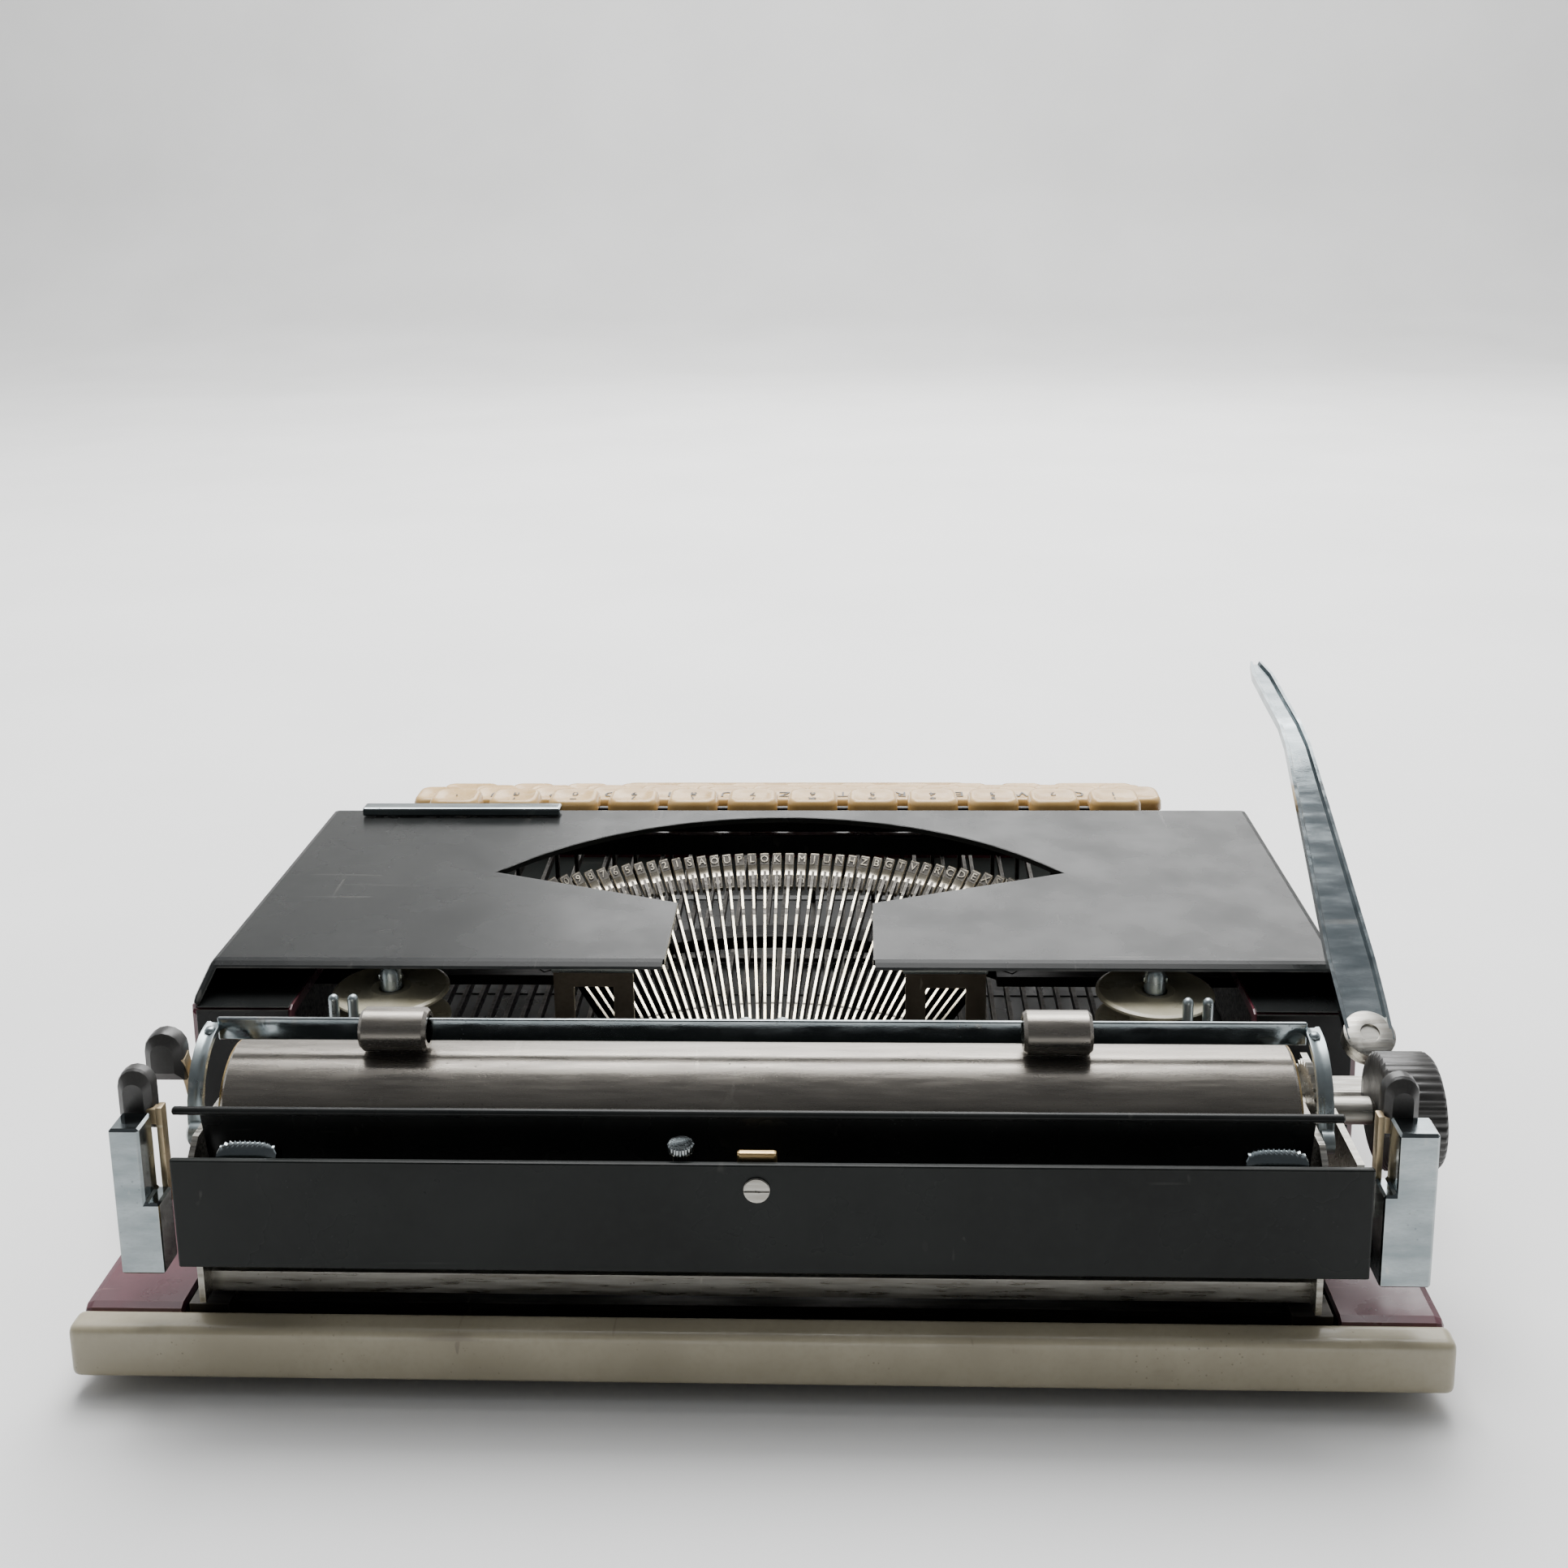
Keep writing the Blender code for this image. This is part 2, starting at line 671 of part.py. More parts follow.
def add_end_caps(build):
    """Chrome caps that close the carriage's two ends, each with a raised outer horn."""
    ends = (
        ("right", 0.1213, 0.1241, 0.1304, 0.0447, 0.0615),
        ("left", -0.1267, -0.1291, -0.1370, 0.0490, 0.0625),
    )
    low = 0.0285
    for side, inner, horn, outer, shelf, top in ends:
        corners = [(inner, low), (outer, low), (outer, top), (horn, top), (horn, shelf), (inner, shelf)]
        cap = rounded(rear_outline(corners, (0.0002, 0.0072)), 0.0005, 1)
        build.add(f"end_cap_{side}", cap, "chrome")


def add_paper_table(build):
    """The curved sheet behind the platen, rolled over at its upper edge."""
    bend_steps = 6
    back = [(0.0105, 0.0592), (0.0135, 0.0480)]
    for step in range(1, bend_steps + 1):
        angle = math.radians(180 + 50 * step / bend_steps)
        back.append((PLATEN_DEPTH + 0.0215 * math.cos(angle), PLATEN_Z + 0.0215 * math.sin(angle)))
    front = [(depth + 0.0011, z + 0.0003) for depth, z in reversed(back)]
    sheet = side_outline(back + front, (-0.1155, 0.1155))
    roll = cylinder("X", point(0, 0.0108, 0.0597), 0.0012, 2 * 0.1212, 12)
    build.add("paper_table", fused([sheet, roll]), "black")


def add_margin_gear(build):
    """The margin rail with its two sliding stops, and the clip and wheel at the middle."""
    build.add("margin_rail", block((-0.1240, 0.1180), (0.0045, 0.0058), (0.0455, 0.0505)), "steel")
    for side, x in (("left", -0.1062), ("right", 0.1035)):
        shapes = [
            rounded(block((x - 0.0062, x + 0.0062), (0.0026, 0.0072), (0.0508, 0.0568)), 0.0012),
            block((x - 0.0050, x + 0.0050), (0.0061, 0.0072), (0.0470, 0.0530)),
        ]
        build.add(f"margin_stop_{side}", fused(shapes), "chrome", origin=point(x, 0.0050, 0.0538))
    clip = block((-0.0057, 0.0025), (0.0026, 0.0042), (0.0430, 0.0560))
    build.add("draw_clip", rounded(clip, 0.0006), "brass")
    wheel = cylinder("Z", point(0.0140, 0.0048, 0.0530), 0.0022, 0.0042, 18)
    rim = cylinder("Z", point(0.0140, 0.0050, 0.0559), 0.0028, 0.0018, 18)
    middle = point(0.0140, 0.0049, 0.0540)
    build.add("knurled_wheel", fused([wheel, rim]), "chrome", origin=middle, smooth=True)


def ratchet_outline(teeth, inner, outer):
    points = []
    for tooth in range(teeth):
        start = 2 * math.pi * tooth / teeth
        slope = start + 1.3 * math.pi / teeth
        points.append((PLATEN_DEPTH + outer * math.cos(start), PLATEN_Z + outer * math.sin(start)))
        points.append((PLATEN_DEPTH + inner * math.cos(slope), PLATEN_Z + inner * math.sin(slope)))
    return points


def add_platen(build):
    """The roller with its shaft, the line ratchet and the knob, all turning together."""
    axis = point(0, PLATEN_DEPTH, PLATEN_Z)
    roller = cylinder("X", axis, PLATEN_RADIUS, 2 * PLATEN_HALF, 48)
    shaft_ends = (KNOB_INNER + GAP, PLATE_OUTER + 0.0015)
    middle = point(sum(shaft_ends) / 2, PLATEN_DEPTH, PLATEN_Z)
    shaft = cylinder("X", middle, SHAFT_RADIUS, shaft_ends[1] - shaft_ends[0], 16)
    build.add("platen", fused([roller, shaft]), "rubber", origin=axis, smooth=True)
    ratchet = side_outline(ratchet_outline(30, 0.0095, 0.0108), (-0.1212, -0.1196))
    bore = cylinder("X", axis, SHAFT_RADIUS + GAP, 0.30, 16)
    build.add("ratchet_wheel", cut(ratchet, [bore]), "steel", origin=axis)
    knob_middle = point((KNOB_INNER + KNOB_OUTER) / 2, PLATEN_DEPTH, PLATEN_Z)
    knob = rounded(cylinder("X", knob_middle, 0.0125, KNOB_INNER - KNOB_OUTER, 32), 0.0012, 1)
    build.add("platen_knob", knob, "black", origin=axis, smooth=True)


def add_feed_rollers(build):
    reach = PLATEN_RADIUS + FEED_RADIUS + GAP
    for name, angle in (("rear", math.radians(-110)), ("front", math.radians(-70))):
        depth = PLATEN_DEPTH + reach * math.cos(angle)
        centre = point(0, depth, PLATEN_Z + reach * math.sin(angle))
        roller = cylinder("X", centre, FEED_RADIUS, 2 * 0.1130, 20)
        build.add(f"feed_roller_{name}", roller, "rubber", origin=centre, smooth=True)


def add_bail(build):
    """The paper bail: a flat bar on two curved arms, with a rubber roller near each end."""
    half_bar = 0.1210
    half_height = 0.0026
    path = [(0.0340, 0.0685), (0.0290, 0.0680), (0.0240, 0.0650), (0.0205, 0.0600), (0.0185, 0.0505)]
    under = [(0.0200, 0.0503), (0.0220, 0.0592), (0.0252, 0.0637), (0.0295, 0.0664), (0.0340, 0.0668)]
    arms = [side_outline(path + under, span) for span in ((0.1182, 0.1216), (-0.1216, -0.1182))]
    bar = block(
        (-half_bar, half_bar),
        (BAIL_DEPTH - 0.0005, BAIL_DEPTH + 0.0005),
        (BAIL_Z - half_height, BAIL_Z + half_height),
    )
    eyes = [cylinder("X", point(sign * 0.1199, *BAIL_PIVOT), 0.0026, 0.0032, 16) for sign in (-1, 1)]
    build.add("paper_bail", fused([bar] + arms + eyes), "chrome", origin=point(0, *BAIL_PIVOT))
    for side, x in (("left", -0.0652), ("right", 0.0791)):
        centre = point(x, BAIL_DEPTH, BAIL_Z)
        ring = turned_ring(centre, BAIL_ROLLER_RADIUS, 0.0030, 0.0148)
        build.add(f"bail_roller_{side}", ring, "rubber", origin=centre, smooth=True)


def turned_ring(centre, outer, inner, length):
    """A short tube lying along X."""
    half = length / 2
    profile = [(inner, half), (outer, half), (outer, -half), (inner, -half), (inner, half)]
    return turned(profile, centre, "X")


def paddle(x_range, depth_range, z_range):
    """A thumb tab with a round top."""
    centre_x = sum(x_range) / 2
    half = (x_range[1] - x_range[0]) / 2
    crown = z_range[1] - half
    top = []
    for step in range(7):
        angle = math.pi * step / 6
        top.append((centre_x + half * math.cos(angle), crown + half * math.sin(angle)))
    return rear_outline([(x_range[1], z_range[0])] + top + [(x_range[0], z_range[0])], depth_range)


def add_release_levers(build):
    """The carriage releases at both ends, and the paper release at the typist's right."""
    sides = {
        "left": ((-0.1284, -0.1270), (-0.1340, -0.1275), (-0.1355, -0.1282)),
        "right": ((0.1222, 0.1236), (0.1225, 0.1300), (0.1243, 0.1318)),
    }
    for side, (strap_x, bridge_x, tab_x) in sides.items():
        strap = block(strap_x, (0.0078, 0.0105), (0.0400, 0.0620))
        bridge = block(bridge_x, (0.0082, 0.0105), (0.0580, 0.0615))
        tab = paddle(tab_x, (0.0080, 0.0125), (0.0565, 0.0700))
        pivot = point(sum(strap_x) / 2, 0.0092, 0.0415)
        build.add(f"carriage_release_{side}", fused([strap, bridge, tab]), "black", origin=pivot)
    strap_x = 0.1229
    strap = strut(point(strap_x, 0.0300, 0.0440), point(strap_x, 0.0228, 0.0660), 0.0014, 0.0030)
    tab = paddle((0.1224, 0.1310), (0.0205, 0.0255), (0.0605, 0.0718))
    pivot = point(strap_x, 0.0300, 0.0455)
    build.add("paper_release", fused([strap, tab]), "black", origin=pivot)


def blade(stations, thickness):
    """A flat bar that bends through (place, width) stations, its width lying along X."""
    mesh = bmesh.new()
    rings = []
    for index, (place, width) in enumerate(stations):
        before = stations[max(index - 1, 0)][0]
        after = stations[min(index + 1, len(stations) - 1)][0]
        run = after - before
        lift = Vector((0, -run.z, run.y)).normalized() * thickness / 2
        side = Vector((width / 2, 0, 0))
        corners = [place - side - lift, place + side - lift, place + side + lift, place - side + lift]
        rings.append([mesh.verts.new(corner) for corner in corners])
    for first, second in zip(rings, rings[1:]):
        for corner in range(4):
            after = (corner + 1) % 4
            mesh.faces.new((first[corner], first[after], second[after], second[corner]))
    mesh.faces.new(rings[0])
    mesh.faces.new(list(reversed(rings[-1])))
    bmesh.ops.recalc_face_normals(mesh, faces=mesh.faces)
    return mesh


def add_return_lever(build):
    """The line-space and return lever: a tapered blade that rises forward from its hub."""
    hub_place = point(*LEVER_HUB)
    lean = Matrix.Rotation(-LEVER_RISE, 4, "X")
    hub = cylinder("Z", Vector((0, 0, 0)), 0.0058, 0.0050, 24)
    bmesh.ops.transform(hub, matrix=Matrix.Translation(hub_place) @ lean, verts=hub.verts)
    stations = [
        (point(-0.1385, 0.0525, 0.0553), 0.0104),
        (point(-0.1382, 0.0700, 0.0666), 0.0112),
        (point(-0.1375, 0.1240, 0.1015), 0.0066),
        (point(-0.1370, 0.1310, 0.1049), 0.0060),
        (point(-0.1355, 0.1570, 0.1110), 0.0058),
        (point(-0.1350, 0.1640, 0.1128), 0.0030),
    ]
    shape = fused([hub, blade(stations, 0.0024)])
    build.add("return_lever", shape, "chrome", origin=hub_place)


# ---------------------------------------------------------------- keyboard


def lever_height(depth):
    """Height of a key lever's middle at a given depth."""
    return FULCRUM_Z + FULCRUM_RADIUS + GAP + LEVER_HEIGHT / 2 + 0.052 * (depth - FULCRUM_DEPTH)


def cap(x, depth, top, width=CAP_WIDTH):
    body = block(
        (x - width / 2, x + width / 2),
        (depth - CAP_DEPTH / 2, depth + CAP_DEPTH / 2),
        (top - CAP_THICK, top),
    )
    obj = loose_object(body)
    bevel = obj.modifiers.new("round", "BEVEL")
    bevel.width = 0.0035
    bevel.segments = 2
    bevel.limit_method = "WEIGHT"
    mesh_edges = obj.data.attributes.new("bevel_weight_edge", "FLOAT", "EDGE")
    for edge in obj.data.edges:
        ends = [obj.data.vertices[index].co for index in edge.vertices]
        mesh_edges.data[edge.index].value = 1.0 if abs(ends[0].z - ends[1].z) > CAP_THICK / 2 else 0.0
    return mesh_of(obj)


def key_shapes(x, depth, top, lever_x=None, width=CAP_WIDTH):
    """A cap on its stem on a lever that runs back to the fulcrum."""
    lever_x = x if lever_x is None else lever_x
    low = lever_height(depth) - LEVER_HEIGHT / 2 + 0.0004
    stem_x = sorted((lever_x - LEVER_THICK / 2, lever_x + LEVER_THICK / 2))
    stem = block(stem_x, (depth - 0.0016, depth + 0.0012), (low, top - CAP_THICK + 0.0005))
    tail = point(lever_x, 0.0815, lever_height(0.0815))
    nose = point(lever_x, depth + 0.0005, lever_height(depth + 0.0005))
    return [cap(x, depth, top, width), stem, strut(tail, nose, LEVER_THICK * 0.98, LEVER_HEIGHT)]


def add_key_rows(build):
    """Each row of letter keys, tied together under its caps."""
    pivot = point(0, FULCRUM_DEPTH, FULCRUM_Z)
    names = ("digits", "upper", "home", "lower")
    for row, name in enumerate(names):
        depth, top = ROW_DEPTHS[row], ROW_TOPS[row]
        places = [ROW_STARTS[row] + PITCH * column for column in range(ROW_COUNTS[row])]
        tie_z = (top - CAP_THICK - 0.0018, top - CAP_THICK + 0.0004)
        shapes = []
        for column, x in enumerate(places):
            if (row, column) != SINGLE_KEY:
                shapes += key_shapes(x, depth, top)
        tie = block((places[0] - 0.002, places[-1] + 0.002), (depth - 0.0011, depth + 0.0009), tie_z)
        if row == SINGLE_KEY[0]:
            tie = bridged_tie(places, depth, tie_z)
        build.add(f"key_row_{name}", fused([tie] + shapes), "cream", origin=pivot)


def bridged_tie(places, depth, tie_z):
    """A row's tie bar that dips under the travel of the key with its own motion."""
    x = places[SINGLE_KEY[1]]
    near, far = depth - 0.0011, depth + 0.0009
    leg, leg_half = PITCH / 2, 0.0006
    dip_top = tie_z[0] - 0.0067
    shapes = [
        block((places[0] - 0.002, x - leg), (near, far), tie_z),
        block((x + leg, places[-1] + 0.002), (near, far), tie_z),
        block((x - leg, x + leg), (depth - 0.0048, depth - 0.0036), (dip_top - 0.0014, dip_top)),
    ]
    leg_depth = (depth - 0.0049, far + 0.0001)
    leg_z = (dip_top - 0.0015, tie_z[1])
    for side in (x - leg, x + leg):
        shapes.append(block((side - leg_half, side + leg_half), leg_depth, leg_z))
    return fused(shapes)


def add_single_key(build):
    row, column = SINGLE_KEY
    x = ROW_STARTS[row] + PITCH * column
    shapes = key_shapes(x, ROW_DEPTHS[row], ROW_TOPS[row])
    pivot = point(x, FULCRUM_DEPTH, FULCRUM_Z)
    build.add("key_single", fused(shapes), "cream", origin=pivot)


def add_function_keys(build):
    """Backspace and margin release, each with its own lever."""
    keys = (("backspace_key", 0.1158, 0.1150), ("margin_release_key", -0.1128, -0.1130))
    for name, x, lever_x in keys:
        shapes = key_shapes(x, ROW_DEPTHS[1], ROW_TOPS[1], lever_x)
        build.add(name, fused(shapes), "cream", origin=point(lever_x, FULCRUM_DEPTH, FULCRUM_Z))


def add_space_bar(build):
    depth, top = 0.2785, 0.0360
    bar = block((-0.062, 0.062), (depth - 0.0050, depth + 0.0050), (top - 0.0050, top))
    shapes = [rounded(bar, 0.0015)]
    stem_depth = (depth - 0.0012, depth + 0.0012)
    for x in (-0.05802, 0.06106):
        shapes.append(block((x - 0.0006, x + 0.0006), stem_depth, (0.0205, top - 0.002)))
        tail = point(x, 0.0815, lever_height(0.0815))
        nose = point(x, depth + 0.0005, lever_height(depth))
        shapes.append(strut(tail, nose, LEVER_THICK * 0.98, LEVER_HEIGHT))
    build.add("space_bar", fused(shapes), "cream", origin=point(0, FULCRUM_DEPTH, FULCRUM_Z))


def add_shift_keys(build):
    """Both shift keys and the shift lock, on arms joined by one shaft."""
    depth, top = ROW_DEPTHS[3], ROW_TOPS[3]
    shapes = [cylinder("X", point(0.00175, *SHIFT_SHAFT), 0.0014, 0.2400, 10)]
    stem_depth = (depth - 0.0016, depth + 0.0012)
    for arm_x, cap_x, width in ((-0.1180, -0.1043, 0.0290), (0.1215, 0.1140, 0.0200)):
        shapes.append(cap(cap_x, depth, top, width))
        shapes.append(block((arm_x - 0.0006, arm_x + 0.0006), stem_depth, (0.0205, top - 0.002)))
        nose = point(arm_x, depth + 0.0005, lever_height(depth))
        shapes.append(strut(point(arm_x, 0.0905, 0.0095), nose, LEVER_THICK * 0.98, LEVER_HEIGHT))
    lock_depth, lock_top = ROW_DEPTHS[2], ROW_TOPS[2]
    shapes.append(cap(-0.1108, lock_depth, lock_top))
    lock_stem = (lock_depth - 0.0016, lock_depth + 0.0012)
    shapes.append(block((-0.1186, -0.1174), lock_stem, (0.0200, lock_top - 0.002)))
    build.add("shift_keys", fused(shapes), "cream", origin=point(0, *SHIFT_SHAFT))


# ---------------------------------------------------------------- assembly


def main():
    clear_scene()
    build = Builder("typewriter")
    add_bottom_pan(build)
    add_body_shell(build)
    add_hood(build)
    add_badge(build)
    add_feet(build)
    add_main_frame(build)
    add_segment(build)
    add_typebar_rest(build)
    add_type_basket(build)
    add_single_typebar(build)
    add_type_guide(build)
    add_vibrator(build)
    add_basket_plates(build)
    add_spools(build)
    add_drum_and_bell(build)
    add_rails(build)
    add_carriage_frame(build)
    add_rear_panel(build)
    add_end_caps(build)
    add_paper_table(build)
    add_margin_gear(build)
    add_platen(build)
    add_feed_rollers(build)
    add_bail(build)
    add_release_levers(build)
    add_return_lever(build)
    add_key_rows(build)
    add_single_key(build)
    add_function_keys(build)
    add_space_bar(build)
    add_shift_keys(build)


main()
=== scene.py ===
"""The detailed look of a flat portable typewriter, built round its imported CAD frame.

Places are in metres in the frame's own axes: +X is the typist's right, -Y the keyboard
side, +Z up. Most are given by a depth, measured forward from the machine's rear face.
"""

import json
import math

import bmesh
import bpy
from mathutils import Matrix, Vector

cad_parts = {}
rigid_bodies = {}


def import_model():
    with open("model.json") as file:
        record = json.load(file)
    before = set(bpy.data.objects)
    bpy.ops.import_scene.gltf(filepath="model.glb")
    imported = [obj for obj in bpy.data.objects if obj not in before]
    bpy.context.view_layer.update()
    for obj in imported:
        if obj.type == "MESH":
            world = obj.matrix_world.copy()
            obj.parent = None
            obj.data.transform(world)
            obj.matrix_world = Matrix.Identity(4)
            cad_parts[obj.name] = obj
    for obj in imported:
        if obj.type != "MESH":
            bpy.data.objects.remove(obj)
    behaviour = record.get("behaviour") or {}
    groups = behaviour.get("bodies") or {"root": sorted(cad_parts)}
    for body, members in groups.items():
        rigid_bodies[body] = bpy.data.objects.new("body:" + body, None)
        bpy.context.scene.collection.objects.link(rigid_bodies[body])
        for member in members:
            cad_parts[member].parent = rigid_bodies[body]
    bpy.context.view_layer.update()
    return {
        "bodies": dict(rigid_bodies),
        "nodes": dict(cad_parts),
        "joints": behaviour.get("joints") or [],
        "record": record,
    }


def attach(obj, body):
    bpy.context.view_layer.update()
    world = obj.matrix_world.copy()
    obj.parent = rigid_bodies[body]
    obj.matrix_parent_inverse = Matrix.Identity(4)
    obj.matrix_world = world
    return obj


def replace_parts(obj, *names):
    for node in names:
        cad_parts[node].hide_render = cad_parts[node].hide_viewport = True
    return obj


REAR = 0.145

# Hood, with an eye-shaped opening and a throat that runs back from it.
HOOD_TOP = 0.0585
EYE_HALF = 0.080
EYE_TIP = 0.143
EYE_FRONT = 0.187
THROAT_HALF = 0.0265
THROAT_FRONT = 0.122
THROAT_REAR = 0.0872

# Keyboard.
PITCH = 0.01905
ROW_DEPTHS = (0.2098, 0.2273, 0.2448, 0.2623)
ROW_TOPS = (0.0576, 0.0520, 0.0464, 0.0408)
ROW_STARTS = (-5.42 * PITCH, -4.92 * PITCH, -4.67 * PITCH, -4.17 * PITCH)
ROW_NAMES = ("digits", "upper", "home", "lower")
ROW_LEGENDS = ("1234567890ß'", "QWERTZUIOPÜ", "ASDFGHJKLÖÄ", "YXCVBNM,.-")
ROW_SHIFTED = ('!"§$%&/()=?`', "", "", ("", "", "", "", "", "", "", ";", ":", "_"))
SINGLE_KEY = (1, 4)
CAP_WIDTH = 0.0158
CAP_DEPTH = 0.0136
CAP_THICK = 0.0042
FULCRUM = (0.085, 0.0105)
LEVER_THICK = 0.0012
LEVER_HEIGHT = 0.003
LETTER_SIZE = 0.0062
DOUBLE_LEGEND_SIZE = 0.0044

# Type basket, fanned round a vertical axis through the printing point.
PRINT_DEPTH = 0.0505
BAR_COUNT = 44
FAN_STEP = math.radians(73.2 / (BAR_COUNT - 1))
SINGLE_BAR = 21
BAR_PIVOT_RADIUS = 0.062
BAR_PIVOT_Z = 0.024
BAR_LENGTH = 0.0644
BAR_REST_ANGLE = math.radians(20.5)
SLUG_RISE = math.radians(42)
SLUG_ROLL = 0.6
SLUG_SIZE = (0.0115, 0.0028, 0.0026)
TYPE_CHARACTERS = "QAYWSXEDCRFVTGBZHNUJMIKOLPÜÖÄß1234567890,.-+"

# Carriage.
PLATEN_AXIS = (0.035, 0.048)
PLATEN_RADIUS = 0.0145
PLATEN_HALF = 0.1160
BAIL_AXIS = (0.0325, 0.0674)
SPOOL_X = 0.0963
SPOOL_DEPTH = 0.090
LEVER_HUB = (-0.1385, 0.0545, 0.0550)
LEVER_RISE = math.atan2(0.0475, 0.0735)
SCREW_X = -0.0016
SCREW_Z = 0.0490
SCREW_RADIUS = 0.0026

# Camera, looking forward from behind the machine; angles in radians.
CAMERA_PLACE = (-0.0226248, 0.4621040, 0.2477784)
CAMERA_PITCH = 0.2077159
CAMERA_YAW = 0.0409745
CAMERA_ROLL = 0.0142668
CAMERA_LENS = 40.074
CAMERA_SHIFT = (-0.00198, -0.1485)


def at(x, depth, z):
    """World position of a place given by its depth forward of the rear face."""
    return Vector((x, REAR - depth, z))


# ---------------------------------------------------------------- materials

# Each finish: base and shade tones, the tone of worn edges and scratches, metallic,
# roughness range, mottling scale, grain stretch, and how much wear and bump it shows.
FINISHES = {
    "burgundy": dict(
        base=(0.095, 0.020, 0.032), shade=(0.052, 0.011, 0.018), worn=(0.24, 0.12, 0.11),
        rough=(0.22, 0.42), mottle=45, wear=0.55, specks=0.35, bump=0.10, coat=0.12,
    ),
    "beige": dict(
        base=(0.385, 0.345, 0.245), shade=(0.30, 0.265, 0.18), worn=(0.16, 0.13, 0.10),
        rough=(0.28, 0.50), mottle=38, wear=0.60, specks=0.55, bump=0.12, coat=0.25,
    ),
    "black_enamel": dict(
        base=(0.009, 0.010, 0.010), shade=(0.016, 0.017, 0.0165), worn=(0.16, 0.155, 0.14),
        rough=(0.20, 0.34), mottle=30, wear=0.18, specks=0.16, bump=0.03, specular=0.15,
    ),
    "panel": dict(
        base=(0.006, 0.007, 0.0065), shade=(0.012, 0.014, 0.013), worn=(0.10, 0.10, 0.09),
        rough=(0.24, 0.40), mottle=26, wear=0.22, specks=0.40, bump=0.06, specular=0.14,
    ),
    "cream": dict(
        base=(0.62, 0.40, 0.155), shade=(0.48, 0.29, 0.095), worn=(0.80, 0.66, 0.42),
        rough=(0.20, 0.40), mottle=110, wear=0.25, specks=0.25, bump=0.06, coat=0.20,
    ),
    "ivory": dict(
        base=(0.46, 0.43, 0.32), shade=(0.34, 0.31, 0.21), worn=(0.60, 0.56, 0.44),
        rough=(0.25, 0.45), mottle=70, wear=0.25, specks=0.30, bump=0.06,
    ),
    "black_plastic": dict(
        base=(0.022, 0.021, 0.020), shade=(0.045, 0.043, 0.040), worn=(0.12, 0.115, 0.105),
        rough=(0.28, 0.48), mottle=120, wear=0.45, specks=0.25, bump=0.12,
    ),
    "steel": dict(
        base=(0.43, 0.42, 0.385), shade=(0.26, 0.245, 0.215), worn=(0.66, 0.64, 0.58), metallic=1.0,
        rough=(0.26, 0.50), mottle=70, stretch=(1, 14, 14), wear=0.50, specks=0.45, bump=0.16,
    ),
    "dark_steel": dict(
        base=(0.060, 0.056, 0.050), shade=(0.026, 0.024, 0.021), worn=(0.22, 0.20, 0.17),
        metallic=0.8, rough=(0.34, 0.60), mottle=80, stretch=(1, 9, 9), wear=0.35, specks=0.35,
        bump=0.16,
    ),
    "type_metal": dict(
        base=(0.74, 0.68, 0.56), shade=(0.50, 0.44, 0.33), worn=(0.92, 0.88, 0.78), metallic=0.9,
        rough=(0.22, 0.42), mottle=260, wear=0.40, specks=0.30, bump=0.12,
    ),
    # A pale metallic finish that paints the highlight along the type bars' top edges.
    "painted_bar_edge_highlight": dict(
        base=(0.88, 0.82, 0.64), shade=(0.62, 0.53, 0.34), worn=(0.95, 0.92, 0.84), metallic=0.75,
        rough=(0.20, 0.38), mottle=120, wear=0.20, specks=0.20, bump=0.08,
    ),
    "inked": dict(
        base=(0.055, 0.050, 0.045), shade=(0.11, 0.10, 0.085), worn=(0.38, 0.35, 0.29),
        metallic=0.4, rough=(0.40, 0.66), mottle=500, wear=0.55, specks=0.55, bump=0.20,
    ),
    "chrome": dict(
        base=(0.30, 0.335, 0.345), shade=(0.17, 0.20, 0.21), worn=(0.42, 0.40, 0.36), metallic=1.0,
        rough=(0.06, 0.20), mottle=60, stretch=(1, 4, 4), wear=0.35, specks=0.55, bump=0.05,
    ),
    "satin_strap": dict(
        base=(0.36, 0.41, 0.42), shade=(0.26, 0.30, 0.31), worn=(0.62, 0.64, 0.62), metallic=0.85,
        rough=(0.24, 0.42), mottle=65, wear=0.45, specks=0.45, bump=0.08,
    ),
    "brass": dict(
        base=(0.66, 0.48, 0.24), shade=(0.45, 0.31, 0.14), worn=(0.86, 0.70, 0.42), metallic=1.0,
        rough=(0.20, 0.40), mottle=90, wear=0.40, specks=0.40, bump=0.08,
    ),
    "tan_strap": dict(
        base=(0.42, 0.33, 0.20), shade=(0.29, 0.22, 0.13), worn=(0.66, 0.58, 0.42), metallic=0.7,
        rough=(0.28, 0.46), mottle=80, wear=0.40, specks=0.35, bump=0.08,
    ),
    "brown_steel": dict(
        base=(0.150, 0.128, 0.100), shade=(0.085, 0.071, 0.054), worn=(0.40, 0.37, 0.31),
        metallic=0.6, rough=(0.34, 0.58), mottle=60, wear=0.50, specks=0.50, bump=0.14,
    ),
    "rubber": dict(
        base=(0.007, 0.007, 0.007), shade=(0.016, 0.015, 0.014), worn=(0.05, 0.045, 0.04),
        rough=(0.42, 0.66), mottle=85, stretch=(1, 6, 6), wear=0.25, specks=0.45, bump=0.18,
        specular=0.20,
    ),
    "platen_rubber": dict(
        base=(0.19, 0.175, 0.155), shade=(0.26, 0.24, 0.21), worn=(0.34, 0.32, 0.28), metallic=0.8,
        rough=(0.22, 0.34), mottle=55, stretch=(1, 10, 10), wear=0.25, specks=0.55, bump=0.10,
    ),
    "legend": dict(
        base=(0.030, 0.026, 0.022), shade=(0.070, 0.058, 0.045), worn=(0.20, 0.16, 0.10),
        rough=(0.35, 0.55), mottle=400, wear=0.20, specks=0.20, bump=0.04,
    ),
}


